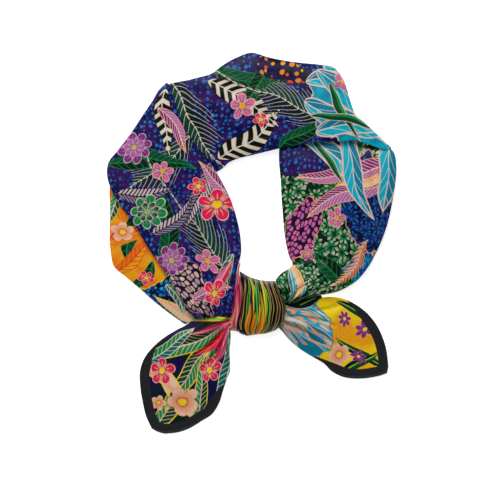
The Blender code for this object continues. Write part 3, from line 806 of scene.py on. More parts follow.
@dataclass(frozen=True)
class PrintedTwill:
    """Silk twill, screen-printed: flat bright inks, a soft satin gloss and a fine slant weave.

    Silk's index of refraction is about 1.54. The real twill has a rib each 0.2 mm, which is too
    fine to show, so the ribs are drawn 0.8 mm apart and shallow. The ink lies a little unevenly,
    and small creases a few millimetres apart break up the gloss. A bordered corner has the
    stitches of its hand-rolled hem.
    """

    name: str
    ground: Ground
    motifs: tuple[Motif, ...] = ()
    border: float = 0.0
    roughness: float = 0.36
    ior: float = 1.54
    specular: float = 0.11
    sheen: float = 0.02
    sheen_roughness: float = 0.35
    unevenness: tuple[float, float] = (0.9, 1.06)
    sway: float = 8.0
    slant: float = 45.0
    rib: float = 0.8
    rib_height: float = 0.02
    crease: float = 9.0
    relief_strength: float = 0.55
    relief_depth: float = 0.9
    hem: float = 2.1
    stitch: float = 3.4
    stitch_lean: float = 0.8
    stitch_depth: float = 0.35

    def printed(self, tree: Tree, at: Socket) -> Node:
        """The ground with its motifs, which sway a little so that no line is quite straight.

        Args:
            tree: the material's tree.
            at: the place on the flat cloth, in millimetres.

        Returns:
            The node with the colour.
        """
        sway = add(tree, "TexNoise.2D", at, 0.03, 0.0).outputs["Color"]
        sway = add(tree, "VectorMath.SUBTRACT", sway, (0.5, 0.5, 0.5))
        sway = add(tree, "VectorMath.MULTIPLY", sway, (self.sway, self.sway, 0.0))
        drawn = add(tree, "VectorMath.ADD", at, sway).outputs["Vector"]
        colour = self.ground.fill(tree, drawn)
        for motif in self.motifs:
            colour = motif.paint(tree, drawn, colour)
        return colour

    def relief(self, tree: Tree, at: Socket) -> Node:
        """The ribs of the twill, a sine wave on the slant, on small creases.

        Args:
            tree: the material's tree.
            at: the place on the flat cloth, in millimetres.

        Returns:
            The node with the height.
        """
        slant = add(tree, "Mapping", at, None, (0.0, 0.0, math.radians(self.slant)), None)
        slant = add(tree, "SeparateXYZ", slant)
        ribs = add(tree, "Math.MULTIPLY", slant.outputs[0], math.tau / self.rib)
        ribs = add(tree, "Math.SINE", ribs)
        creases = (at, 1.0 / self.crease, 3.0, None, None, 0.4)
        soft = add(tree, "TexNoise.2D", *creases)
        return add(tree, "Math.MULTIPLY_ADD", ribs, self.rib_height, soft)

    def hemmed(self, tree: Tree, colour: Node, height: Node) -> tuple[Node, Node]:
        """Adds the printed border, and the hand stitches that catch the roll of the hem.

        A stitch is a short slanted dimple, with one every few millimetres.

        Args:
            tree: the material's tree.
            colour: the print's colour.
            height: the height of the weave.

        Returns:
            The nodes with the new colour and the new height.
        """
        hem = add(tree, "Attribute", attribute_name="hem").outputs["Vector"]
        hem = add(tree, "SeparateXYZ", hem)
        inset, along = hem.outputs[0], hem.outputs[1]
        edge = add(tree, "MapRange", inset, self.border - 0.2, self.border + 0.2, 1.0, 0.0)
        colour = add(tree, "Mix.RGBA", edge, colour, Ink.CHARCOAL)

        slid = add(tree, "Math.MULTIPLY_ADD", inset, self.stitch_lean, along)
        lap = add(tree, "Math.MULTIPLY", slid, 1.0 / self.stitch)
        lap = add(tree, "Math.PINGPONG", lap, 0.5)
        there = add(tree, "MapRange", lap, 0.08, 0.16, 1.0, 0.0)
        apart = add(tree, "Math.SUBTRACT", inset, self.hem)
        apart = add(tree, "Math.ABSOLUTE", apart)
        beside = add(tree, "MapRange", apart, 0.3, 0.7, 1.0, 0.0)
        dimple = add(tree, "Math.MULTIPLY", there, beside)
        height = add(tree, "Math.MULTIPLY_ADD", dimple, -self.stitch_depth, height)
        return colour, height

    def material(self) -> bpy.types.Material:
        """Makes the material.

        Returns:
            The material, which reads the attributes "print" (the place on the flat cloth) and
            "hem" (the distance from the hem), both in millimetres.
        """
        values = {
            "Roughness": self.roughness,
            "IOR": self.ior,
            "Specular IOR Level": self.specular,
            "Sheen Weight": self.sheen,
            "Sheen Roughness": self.sheen_roughness,
        }
        material, tree, shader = new_material(self.name, values)
        at = add(tree, "Attribute", attribute_name="print").outputs["Vector"]
        colour = self.printed(tree, at)
        height = self.relief(tree, at)
        if self.border:
            colour, height = self.hemmed(tree, colour, height)

        uneven = add(tree, "TexNoise.2D", at, 0.5, 3.0)
        uneven = add(tree, "MapRange", uneven, 0.3, 0.7, *self.unevenness)
        colour = add(tree, "VectorMath.SCALE", colour, uneven)
        tree.links.new(colour.outputs["Vector"], shader.inputs["Base Color"])
        bump = add(tree, "Bump", self.relief_strength, self.relief_depth * MM, None, height)
        tree.links.new(bump.outputs["Normal"], shader.inputs["Normal"])
        return material


@dataclass(frozen=True)
class MattPaper:
    """Matt white paper: a sheet of uncoated fibres that gives a flat white with no shine.

    It glows a little, as a floor that is lit from below too.
    """

    name: str = "matt_white_paper"
    tones: tuple[float, float] = (0.9, 0.93)
    grains_per_metre: float = 900.0
    roughness: float = 0.9
    specular: float = 0.1
    glow: float = 0.72

    def material(self) -> bpy.types.Material:
        """Makes the material.

        Returns:
            The material.
        """
        values = {
            "Roughness": self.roughness,
            "Specular IOR Level": self.specular,
            "Emission Color": (1.0, 1.0, 1.0, 1.0),
            "Emission Strength": self.glow,
        }
        material, tree, shader = new_material(self.name, values)
        place = add(tree, "TexCoord").outputs["Object"]
        grain = add(tree, "TexNoise", place, self.grains_per_metre, 2.0)
        tone = add(tree, "MapRange", grain, 0.0, 1.0, *self.tones)
        tone = add(tree, "CombineColor", tone, tone, tone)
        tree.links.new(tone.outputs["Color"], shader.inputs["Base Color"])
        return material


# ---- The cloth's form ----


class Run(Enum):
    """How a fold runs along its line."""

    FREE = "rises in the middle and dies away at both ends"
    ROOTED = "is full where it starts, in the knot or the mitre, and dies away at its far end"
    TURNED = "is the turned edge of a layer: a step up to the left of the line"


@dataclass(frozen=True)
class Fold:
    """A soft ridge (height above 0), valley or step along a bowed line on the table."""

    from_x: float
    from_y: float
    to_x: float
    to_y: float
    bend: float
    height: float
    width: float
    run: Run = Run.FREE


@dataclass(frozen=True)
class Pleat:
    """A ridge or valley that leaves the knot and keeps its place across the stretch."""

    across: float
    height: float
    width: float
    reach: float


def stations(rows: Sequence[Sequence[float]], count: int) -> tuple[Array, Array]:
    """Reads a table along a smooth curve: cubic Hermite pieces over its edges' mean length.

    Args:
        rows: the table, with the two edges' places in its first four columns.
        count: how many stations to read.

    Returns:
        The stations' distances along the stretch, and the table's columns there.
    """
    table = np.array(rows, float)
    steps = np.linalg.norm(np.diff(table[:, 0:2], axis=0), axis=1)
    steps = (steps + np.linalg.norm(np.diff(table[:, 2:4], axis=0), axis=1)) / 2
    at = np.concatenate([[0.0], np.cumsum(steps)])
    slopes = np.gradient(table, at, axis=0)
    wanted = np.linspace(0.0, at[-1], count)
    before = np.clip(np.searchsorted(at, wanted, side="right") - 1, 0, len(at) - 2)
    span = (at[before + 1] - at[before])[:, None]
    t = (wanted - at[before])[:, None] / span
    columns = (
        (2 * t**3 - 3 * t**2 + 1) * table[before]
        + (t**3 - 2 * t**2 + t) * span * slopes[before]
        + (3 * t**2 - 2 * t**3) * table[before + 1]
        + (t**3 - t**2) * span * slopes[before + 1]
    )
    return wanted, columns


def chords(columns: Array) -> tuple[Array, Array]:
    """The vector from one edge of the stretch to the other at each section, and its length."""
    chord = columns[:, 2:4] - columns[:, 0:2]
    return chord, np.linalg.norm(chord, axis=1)


def plan_places(columns: Array, across: Array) -> Array:
    """Places on the table: on each section's chord, and 4 bow t (1 - t) to its left.

    Args:
        columns: the table's columns at each section, with the bow in the fifth.
        across: the share t of the way across, by section and point.

    Returns:
        The places.
    """
    chord, width = chords(columns)
    side = np.stack([-chord[:, 1], chord[:, 0]], axis=1) / width[:, None]
    bulge = columns[:, 4, None] * 4 * across * (1 - across)
    straight = columns[:, None, 0:2] + chord[:, None] * across[..., None]
    return straight + side[:, None] * bulge[..., None]


def eased(share: Array) -> Array:
    """Even steps from 0 to 1 drawn closer at both ends: the mean of t and (1 - cos(pi t)) / 2."""
    return (share + (1 - np.cos(np.pi * share)) / 2) / 2


def dome(share: Array, belly: float, shoulder: float = 1.0) -> Array:
    """A bell over the width, (1 - |2 t - 1|^belly)^shoulder at the share t."""
    return (1 - np.abs(2 * share - 1) ** belly) ** shoulder


def there_and_back(grid: Array) -> Array:
    """Each row followed by its own reverse, as a ring goes over a face and back under it."""
    return np.concatenate([grid, grid[:, ::-1]], axis=1)


def fold_heights(plan: Array, folds: Sequence[Fold]) -> Array:
    """What the folds add: height times fade times exp(-(distance / width)^2) for each.

    At the share a of the line the fade is sin(pi a), or sqrt(1 - a) when rooted. A turned edge
    has height times sqrt(fade) / (1 + exp(-side / width)), side being positive to the left.

    Args:
        plan: places on the table.
        folds: the folds.

    Returns:
        The height at each place.
    """
    total = np.zeros(plan.shape[:-1])
    for fold in folds:
        start = np.array([fold.from_x, fold.from_y], float)
        reach = np.array([fold.to_x, fold.to_y], float) - start
        length = np.linalg.norm(reach)
        side = np.array([-reach[1], reach[0]]) / length
        along = np.clip((plan - start) @ reach / length**2, 0, 1)
        bow = (fold.bend * 4 * along * (1 - along))[..., None] * side
        away = plan - start - along[..., None] * reach - bow
        distance = np.linalg.norm(away, axis=-1)
        fade = np.sqrt(1 - along) if fold.run is Run.ROOTED else np.sin(np.pi * along)
        if fold.run is Run.TURNED:
            total += fold.height * np.sqrt(fade) / (1 + np.exp(-(away @ side) / fold.width))
        else:
            total += fold.height * fade * np.exp(-((distance / fold.width) ** 2))
    return total


def pleat_heights(across: Array, width: Array, away: Array, pleats: Sequence[Pleat]) -> Array:
    """What the pleats add: a bell across each, fading as (1 - away / reach)^1.5.

    A pleat widens on its way out, to 1.6 times its width where it ends.

    Args:
        across: places across the stretch, from 0 to 1.
        width: the stretch's width at each section.
        away: how far each section is from the knot.
        pleats: the pleats.

    Returns:
        The height at each place.
    """
    total = np.zeros_like(across)
    for pleat in pleats:
        left = np.clip(1 - away / pleat.reach, 0, 1)[:, None]
        distance = (across - pleat.across) * width[:, None]
        wide = pleat.width * (1.6 - 0.6 * left)
        total += pleat.height * left**1.5 * np.exp(-((distance / wide) ** 2))
    return total


def ripples(first: Array, second: Array, seed: int, size: float, height: float) -> Array:
    """Soft irregular ripples: a sum of plane waves with seeded directions, lengths and phases.

    The waves are from just over half to twice the middle length, and the longer stand higher.

    Args:
        first: one coordinate, in millimetres.
        second: the other.
        seed: picks the waves.
        size: the middle wavelength.
        height: the ripples' usual height.

    Returns:
        The height at each place.
    """
    count, usual = 18, 3.0  # the sum of so many waves is usually within 3 either way
    chance = np.random.default_rng(seed)
    turns = chance.uniform(0, 2 * np.pi, count)
    waves = size * chance.uniform(0.55, 2.0, count)
    phases = chance.uniform(0, 2 * np.pi, count)
    reach = first[..., None] * np.cos(turns) + second[..., None] * np.sin(turns)
    parts = np.sin(2 * np.pi * reach / waves + phases) * waves / size
    return height * parts.sum(axis=-1) / usual


def from_line(plan: Array, line: Array) -> tuple[Array, Array]:
    """Where each place is from a bent line: the nearest point of its straight pieces.

    Args:
        plan: places on the table.
        line: the line's corners.

    Returns:
        The distance from the line, and the length along it to the nearest point.
    """
    nearest = np.full(plan.shape[:-1], np.inf)
    reached = np.zeros_like(nearest)
    before = 0.0
    for start, end in zip(line[:-1], line[1:]):
        step = end - start
        length = np.linalg.norm(step)
        along = np.clip((plan - start) @ step / length**2, 0, 1)
        away = np.linalg.norm(plan - start - along[..., None] * step, axis=-1)
        reached = np.where(away < nearest, before + along * length, reached)
        nearest = np.minimum(nearest, away)
        before += length
    return nearest, reached


def cloth_object(
    name: str, rings: Array, flat: Array, hem: Array | None, upper: int
) -> bpy.types.Object:
    """Makes a closed piece whose rings are joined in order and closed at both ends.

    An end is closed with triangles from each step over the upper side to the point of the
    underside that is the same share of the way across.

    Args:
        name: the piece's name.
        rings: the points, as sections by points round each section by 3, in millimetres.
        flat: where each point lies on the flat cloth.
        hem: how far each point is from the hem and how far along it, or None where the piece
            has no hem.
        upper: how many points of a ring are on its upper side, which comes first.

    Returns:
        The object, with the attributes "print" and "hem".
    """
    sections, points = rings.shape[:2]
    index = np.arange(sections * points).reshape(sections, points)
    onward = np.roll(index, -1, axis=1)
    sides = np.stack([index[:-1], onward[:-1], onward[1:], index[1:]], axis=-1).reshape(-1, 4)
    facing = np.rint(np.linspace(points - 1, upper, upper)).astype(int)
    over = np.arange(upper)
    tops = np.stack([over[1:], over[:-1], facing[1:]], axis=1)
    bottoms = np.stack([over[:-1], facing[:-1], facing[1:]], axis=1)
    end = np.concatenate([tops, bottoms[facing[:-1] != facing[1:]]])
    faces = [*sides.tolist(), *index[0][end].tolist(), *index[-1][end[:, ::-1]].tolist()]

    centred = (rings.reshape(-1, 3) - np.array([*CENTRE, 0.0])) * MM
    corners = centred[sides]
    across = np.cross(corners[:, 1] - corners[:, 0], corners[:, 3] - corners[:, 0])
    if np.einsum("ij,ij->", across, corners.mean(axis=1) - centred.mean(axis=0)) < 0:
        faces = [face[::-1] for face in faces]
    mesh = bpy.data.meshes.new(name)
    mesh.from_pydata(centred.tolist(), [], faces)
    for label, pairs in (("print", flat), ("hem", hem)):
        if pairs is not None:
            values = np.pad(pairs.reshape(-1, 2), ((0, 0), (0, 1))).astype(np.float32)
            layer = mesh.attributes.new(label, "FLOAT_VECTOR", "POINT")
            layer.data.foreach_set("vector", values.ravel())
    mesh.shade_smooth()
    mesh.validate()
    return place_object(name, mesh)


class Held(Enum):
    """How a stretch's flat cloth is held."""

    FOLDED = "folded"
    GATHERED = "gathered"
    LAID = "laid"


@dataclass
class ClothPiece:
    """A piece of the scarf that stands for one of its solids, and takes its name from it."""

    node: str
    slot: str
    rows: Sequence[Sequence[float]]
    ground: Ground
    motifs: tuple[Motif, ...]
    flat: tuple[float, float]
    held: Held
    sections: int
    folds: Sequence[Fold] = ()
    pleats: Sequence[Pleat] = ()
    from_end: bool = True
    gathered: float = 0.0
    gather_over: float = 60.0
    border: float = 0.0
    seed: int = 1

    def away(self, along: Array) -> Array:
        """How far each section is from the knot, measured along the piece."""
        return along[-1] - along if self.from_end else along

    def flat_places(self, columns: Array, away: Array, lateral: Array) -> Array:
        """Where points lie on the flat cloth: the middle line, and the sideways distance.

        Near the knot the cloth is gathered, so its flat width stays at least self.gathered.

        Args:
            columns: the table's columns at each section.
            away: how far each section is from the knot.
            lateral: the points' sideways places, in widths from the middle line.

        Returns:
            The flat places, in millimetres.
        """
        chord, width = chords(columns)
        share = np.clip(1 - away / self.gather_over, 0, 1)
        share = share * share * (3 - 2 * share)
        spread = width + share * (np.maximum(width, self.gathered) - width)
        middle = (columns[:, 0:2] + columns[:, 2:4]) / 2
        side = chord / width[:, None]
        return middle[:, None] + side[:, None] * (lateral * spread[:, None])[..., None]

    def surface(self) -> Surface:
        """What cloth_object takes after the name: the rings, the flat places, the hem, upper."""
        raise NotImplementedError

    def build(self) -> bpy.types.Object:
        """Returns:
            The object.
        """
        piece = cloth_object(f"{self.node}_silk", *self.surface())
        finish = PrintedTwill(f"{self.node}_printed_twill", self.ground, self.motifs, self.border)
        piece.data.materials.append(finish.material())
        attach(piece, BODY)
        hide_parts(self.node)
        LOG.info("%s: %d faces", piece.name, len(piece.data.polygons))
        return piece


@dataclass
class FoldedStretch(ClothPiece):
    """A stretch of the folded band: a rounded form with its layers showing at the edges."""

    layers: int = 3
    tops: int = 110
    phase: float = 0.0
    start_round: float = 0.0
    end_round: float = 0.0
    end_level: float = 0.0
    spread: float = 0.4
    wave_size: float = 34.0
    wave_height: float = 0.3

    GROOVE: ClassVar[float] = 1.2
    STAGGER: ClassVar[float] = 0.9
    WANDER: ClassVar[float] = 0.5
    WANDER_WAVE: ClassVar[float] = 46.0
    LAYER_PHASE: ClassVar[float] = 2.1
    EDGE_PHASE: ClassVar[float] = 1.3
    ROLL: ClassVar[float] = 0.5
    TUCK: ClassVar[float] = 9.5
    MOST_TUCK: ClassVar[float] = 0.42
    STEP: ClassVar[float] = 1.2
    MOST_STEP: ClassVar[float] = 0.05
    MOST_SPREAD: ClassVar[float] = 0.2
    EASE_WIDTH: ClassVar[float] = 24.0
    LEAST_EASE: ClassVar[float] = 0.12
    BELLY: ClassVar[float] = 2.6
    SHOULDER: ClassVar[float] = 0.75
    STILL_EDGE: ClassVar[int] = 10
    WAVE_SHEAR: ClassVar[float] = 0.4
    EDGE_POINTS: ClassVar[int] = 8
    EDGE_SHARES: ClassVar[tuple[float, float]] = (0.02, 0.9)
    RESTING_POINTS: ClassVar[int] = 5
    LEAST_ROUND: ClassVar[float] = 0.004

    def edge(
        self, lift: Array, rim: Array, along: Array, ease: Array, phase: float
    ) -> tuple[Array, Array]:
        """An edge, going up over its layers, each of them half round.

        A layer's inset is groove (1 - sqrt(1 - (2 s - 1)^2)) at the share s of its height, and
        the lower layers lie further in and wander.

        Args:
            lift: the height of the edge's underside at each section.
            rim: the height of its top.
            along: the sections' distances along the stretch.
            ease: how much of the detail each section has room for.
            phase: where the wandering starts.

        Returns:
            Insets from the edge, and heights.
        """
        layer = np.repeat(np.arange(self.layers), self.EDGE_POINTS)
        share = np.tile(np.linspace(*self.EDGE_SHARES, self.EDGE_POINTS), self.layers)
        wander = 1 + np.sin(
            2 * np.pi * along[:, None] / self.WANDER_WAVE + phase + self.LAYER_PHASE * layer
        )
        below = self.layers - 1 - layer
        setback = self.STAGGER * below + self.WANDER * wander * (below > 0)
        bulge = 1 - np.sqrt(1 - (2 * share - 1) ** 2)
        inset = ease[:, None] * (setback + self.GROOVE * bulge)
        height = lift[:, None] + (rim - lift)[:, None] * (layer + share) / self.layers
        return inset, height

    def outline(self, along: Array, columns: Array, width: Array) -> tuple[Array, Array, int]:
        """The sections before folds: up the outer edge, over the top, down the inner edge, back.

        The top stands at rim + (crown - rim) (1 - |2 t - 1|^2.6)^0.75.

        Args:
            along: the sections' distances along the stretch.
            columns: the table's columns at each section.
            width: the stretch's width there.

        Returns:
            The shares of the way across, the heights, and how many points are on the underside.
        """
        crown, outer_rim, inner_rim, outer_lift, inner_lift = columns[:, 5:10].T
        ease = np.clip(width / self.EASE_WIDTH, self.LEAST_EASE, 1.0)
        up, up_z = self.edge(outer_lift, outer_rim, along, ease, self.phase)
        down, down_z = self.edge(inner_lift, inner_rim, along, ease, self.phase + self.EDGE_PHASE)
        up, down = up / width[:, None], 1 - down / width[:, None]

        turn = self.ROLL * ease[:, None] / width[:, None]
        share = eased(np.arange(1, self.tops + 1) / (self.tops + 1))
        first, last = up[:, -1:] + turn, down[:, -1:] - turn
        top = first + (last - first) * share
        rim = outer_rim[:, None] + (inner_rim - outer_rim)[:, None] * share
        top_z = rim + (crown[:, None] - rim) * dome(share, self.BELLY, self.SHOULDER)

        tuck = np.minimum(self.TUCK, self.MOST_TUCK * width) / width
        foot = tuck + np.minimum(self.STEP, self.MOST_STEP * width) / width
        resting = foot + (1 - 2 * foot) * np.linspace(1, 0, self.RESTING_POINTS)[:, None]
        bottom = np.stack([1 - tuck, *resting, tuck], axis=1)
        bottom_z = np.zeros_like(bottom)
        bottom_z[:, 0], bottom_z[:, -1] = inner_lift, outer_lift

        across = np.concatenate([up, top, down[:, ::-1], bottom], axis=1)
        heights = np.concatenate([up_z, top_z, down_z[:, ::-1], bottom_z], axis=1)
        return across, heights, bottom.shape[1]

    def relief(self, plan: Array, across: Array, along: Array, width: Array) -> Array:
        """What the folds, the pleats and the ripples add where the cloth is free to rise.

        The edges keep their form, and the ripples run further along the band than across.

        Args:
            plan: places on the table.
            across: their shares of the way across.
            along: the sections' distances along the stretch.
            width: the stretch's width at each section.

        Returns:
            The height at each place.
        """
        held = dome(across, self.STILL_EDGE)
        sideways, onward = (across - 0.5) * width[:, None], self.WAVE_SHEAR * along[:, None]
        extra = fold_heights(plan, self.folds)
        extra += pleat_heights(across, width, self.away(along), self.pleats) * held
        soft = ripples(sideways, onward, self.seed, self.wave_size, self.wave_height)
        return extra + held * soft

    def surface(self) -> Surface:
        """The closed rings, with the relief on them, shrunk at an end that is rounded.

        The relief comes in from the edges' undersides up to the rims, and the cloth that hangs
        down at an edge goes on past the band's flat width.

        Returns:
            The stretch's surface, with no hem.
        """
        along, columns = stations(self.rows, self.sections)
        chord, width = chords(columns)
        grown = np.clip(self.spread / width, 0, self.MOST_SPREAD)[:, None] * chord
        columns[:, 0:2] -= grown
        columns[:, 2:4] += grown
        _, width = chords(columns)
        across, heights, below = self.outline(along, columns, width)
        plan = plan_places(columns, across)

        outer_rim, inner_rim, outer_lift, inner_lift = columns[:, 6:10].T
        under = np.minimum(outer_lift, inner_lift)[:, None]
        rim = (outer_rim + inner_rim)[:, None] / 2
        reach = np.clip((heights - under) / (rim - under), 0, 1)
        reach[:, -below:] = 0
        heights = np.maximum(heights + self.relief(plan, across, along, width) * reach, 0)
        level = np.where(along > along[-1] / 2, self.end_level, 0.0)[:, None]
        rounded = level + (heights - level) * self.rounding(along)[:, None]
        heights = np.where(heights > level, rounded, heights)

        lateral = across - 0.5
        drop = np.clip(rim - heights, 0, None) / width[:, None]
        count, upper = self.layers * self.EDGE_POINTS, across.shape[1] - below
        lateral[:, :count] -= drop[:, :count]
        lateral[:, upper - count : upper] += drop[:, upper - count : upper]
        flat = self.flat_places(columns, self.away(along), lateral)
        rings = np.concatenate([plan, heights[..., None]], axis=2)
        return rings, flat, None, upper

    def rounding(self, along: Array) -> Array:
        """How far each section is shrunk: sqrt(1 - (1 - d)^2), d reaching 1 past each end.

        Args:
            along: the sections' distances along the stretch.

        Returns:
            The share of its height that each section keeps.
        """
        shrink = np.ones_like(along)
        ends = ((along, self.start_round), (along[-1] - along, self.end_round))
        for distance, radius in ends:
            if radius:
                d = np.clip(distance / radius, self.LEAST_ROUND, 1)
                shrink *= np.sqrt(1 - (1 - d) ** 2)
        return shrink


@dataclass
class FreeCorner(ClothPiece):
    """A free corner of the square: one thickness of cloth with a rolled hem at its edges."""

    hem_between: tuple[float, float] = (0.0, 0.0)
    hem_lead: Sequence[tuple[float, float]] = ()
    hem_trail: Sequence[tuple[float, float]] = ()
    from_end: bool = False
    across_points: int = 150
    wall: float = 0.7
    hem_roll: float = 0.9
    hem_width: float = 1.1
    wave_size: float = 40.0
    wave_height: float = 0.35

    BELLY: ClassVar[float] = 2.2
    SHOULDER: ClassVar[float] = 0.8
    CURL: ClassVar[int] = 4
    STILL_EDGE: ClassVar[int] = 8
    UNDER: ClassVar[float] = 0.5
    ROLL_WIDTH: ClassVar[float] = 0.75
    LEAST_STEP: ClassVar[float] = 0.2

    def hem_line(self, plan: Array) -> Array:
        """The line of the square's own edge, round the corner.

        It runs down one side of the piece, over its last section and back up the other side,
        between two guide points at each end that lead it on past the piece.

        Args:
            plan: the piece's places on the table.

        Returns:
            The line's corners, at every third section and every sixth point.
        """
        first, last = (int(share * (self.sections - 1)) for share in self.hem_between)
        lead, trail = np.array(self.hem_lead, float), np.array(self.hem_trail, float)
        parts = [lead, plan[first::3, 0], plan[-1, ::6], plan[:last:-3, -1], trail]
        line = np.concatenate(parts)
        steps = np.linalg.norm(np.diff(line, axis=0), axis=1)
        return line[np.concatenate([[True], steps > self.LEAST_STEP])]

    def surface(self) -> Surface:
        """The closed rings: the upper face, a rounded rim, the lower face and the other rim.

        The lower face stands at middle (1 - |2 t - 1|^2.2)^0.8, curls up at the edges as the
        fourth power, and has the folds, pleats and ripples. The hem is a bell on the wall's
        thickness a millimetre in from the edge.

        Returns:
            The corner's surface.
        """
        along, columns = stations(self.rows, self.sections)
        share = np.tile(eased(np.linspace(0, 1, self.across_points)), (self.sections, 1))
        _, width = chords(columns)
        away = self.away(along)
        plan = plan_places(columns, share)
        middle, upper_lift, lower_lift = columns[:, 5:8].T[..., None]
        curls = upper_lift * (1 - share) ** self.CURL + lower_lift * share**self.CURL
        extra = fold_heights(plan, self.folds)
        extra += pleat_heights(share, width, away, self.pleats)
        extra += ripples(plan[..., 0], plan[..., 1], self.seed, self.wave_size, self.wave_height)
        lower = (middle + self.UNDER) * dome(share, self.BELLY, self.SHOULDER) + curls
        lower = np.maximum(lower + extra * dome(share, self.STILL_EDGE), 0)

        hem, hem_along = from_line(plan, self.hem_line(plan))
        inset = (hem - self.hem_width) / (self.ROLL_WIDTH * self.hem_width)
        upper = lower + self.wall + self.hem_roll * np.exp(-(inset**2))
        heights = np.concatenate([upper, lower[:, ::-1]], axis=1)
        rings = np.concatenate([there_and_back(plan), heights[..., None]], axis=2)
        flat = self.flat_places(columns, away, share - 0.5)
        edge = np.stack([hem, hem_along], axis=2)
        return rings, there_and_back(flat), there_and_back(edge), self.across_points


# ---- The tables ----
#
# A stretch's row is outer x and y, inner x and y, bow, crown, the two rims and the two lifts.
# A corner's is its two edges' x and y, bow, middle and the two edges' lifts. A gather's is its
# place across the wrap, its height and its width.

LEFT_BAND = (
    (-92.6, 175, -88.9, 172.2, 0, 7.6, 6.2, 6.8, 0, 4.8),
    (-100.8, 167, -86.5, 161.5, 0, 10.0, 7.0, 9.0, 0, 6),
    (-107.6, 155.5, -81, 145, 0, 12.0, 7.5, 10.0, 0, 6),
    (-119, 138.6, -75, 128, 0, 12.5, 7.5, 10.0, 0, 6),
    (-131, 120.5, -66, 114, 0, 13.0, 7.5, 10.0, 0, 6),
    (-145.5, 101.5, -56, 101, 0, 13.0, 7.5, 10.0, 0, 6),
    (-156.3, 86.5, -45, 87, 0, 13.0, 8.0, 10.0, 0.4, 6),
    (-157.2, 74, -38.5, 77, 0, 13.0, 9.5, 10.0, 3.8, 6),
    (-152.5, 58.5, -31.5, 65, 0, 13.0, 10.5, 8.0, 6, 0),
    (-141, 40, -22.8, 47, 0, 13.0, 10.5, 7.5, 6, 0),
    (-127, 20, -16, 25, 0, 13.0, 10.5, 7.5, 6, 0),
    (-111, -7, -12.1, 3, 0, 13.5, 10.5, 8.0, 6, 0),
    (-96, -29, -11.9, -12, 0, 14.0, 11.0, 9.0, 6, 0),
    (-83, -50, -15.6, -27, 0, 15.0, 11.0, 11.0, 6, 0),
    (-72, -68, -18.4, -45, 0, 16.0, 11.0, 13.0, 6, 0),
    (-65, -78, -19.4, -62, 0, 15.0, 10.5, 13.0, 6, 0),
    (-61, -83, -21.8, -80.3, -0.8, 12.5, 10.0, 12.0, 4, 0),
)

LEFT_UNDER_LAYER = (
    (-155, 76, -151, 76.6, 0, 2.0, 1.8, 1.8, 0, 0),
    (-154.8, 65, -150, 66, 0, 3.4, 3.0, 3.0, 0, 0),
    (-155, 54, -147, 57, 0, 4.8, 4.0, 4.4, 0, 0),
    (-154.4, 41, -137, 43, 0, 5.4, 4.2, 5.2, 0, 0),
    (-154.5, 23, -125, 25, 0, 5.6, 4.2, 5.4, 0, 0),
    (-154.8, 5, -114, 8, 0, 5.6, 4.2, 5.4, 0, 0),
    (-153.7, -10, -104, -9, 0, 5.6, 4.2, 5.4, 0, 0),
    (-150.1, -25.5, -94, -24, 0, 5.6, 4.2, 5.4, 0, 0),
    (-138.6, -35.8, -86, -38, 0, 5.6, 4.2, 5.4, 0, 0),
    (-121.3, -50.2, -78, -51, 0, 5.6, 4.2, 5.4, 0, 0),
    (-104.8, -64.8, -70, -59, 0, 5.5, 4.2, 5.2, 0, 0),
    (-89.8, -76.4, -65.5, -65, 0, 5.0, 4.0, 4.6, 0, 0),
    (-79.4, -83.8, -62, -70, 0, 4.0, 3.4, 3.6, 0, 0),
    (-72, -88.3, -59.5, -74, 0, 3.0, 2.6, 2.8, 0, 0),
    (-66.5, -86, -56.5, -76.5, 0, 2.8, 2.4, 2.6, 0, 0),
    (-60, -83.6, -54, -77.5, 0, 2.6, 2.2, 2.4, 0, 0),
)

TOP_BAND = (
    (-89.6, 173.9, -41, 76.5, -13.5, 4.8, 4.4, 4.6, 0, 0),
    (-82.6, 175.4, -33, 81, -11, 6.4, 5.0, 5.4, 0, 0),
    (-70, 177.5, -25, 88, -8, 9.5, 6.5, 7.0, 0, 0),
    (-56, 180.9, -14, 92.8, -5, 11.5, 7.5, 7.5, 0, 0),
    (-44, 184.6, -2, 95.6, -3, 12.5, 7.5, 8.0, 0, 0),
    (-32, 193.4, 7, 97.8, -1, 13.0, 7.5, 8.5, 0, 0),
    (-17, 201.8, 18, 100.4, 0, 13.5, 7.5, 10.5, 0, 4),
    (-1, 207.4, 28, 102.8, 0, 14.0, 7.5, 12.5, 0, 7),
    (18, 202.6, 42, 105.6, 0, 14.5, 7.5, 13.0, 0, 7),
    (37, 198.7, 56, 108, 0, 15.0, 7.5, 13.5, 0, 7),
    (55, 196.3, 70, 110, 0, 15.5, 7.5, 14.0, 0, 7),
    (74, 194.4, 86, 111, 0, 16.0, 7.5, 14.0, 0, 7),
    (90.5, 191, 101, 111, 0, 16.0, 7.5, 14.0, 0, 7),
    (101.6, 176, 112, 112, 0, 16.0, 7.5, 14.0, 0, 7),
    (106.7, 158.5, 120, 110, 0, 16.0, 7.5, 14.0, 0, 7),
    (112.6, 141.8, 127, 108, 0, 15.5, 8.0, 13.5, 0, 7),
    (123.4, 131.6, 135, 105, 0, 14.0, 8.5, 12.5, 0, 7),
    (134.2, 121.6, 141, 103, 0, 12.5, 8.5, 11.5, 0, 7),
    (143, 113, 147, 102, 0, 10.5, 8.0, 10.0, 0, 6),
    (152.2, 104.8, 151.8, 102.4, 0, 7.0, 6.0, 6.5, 0, 3),
)

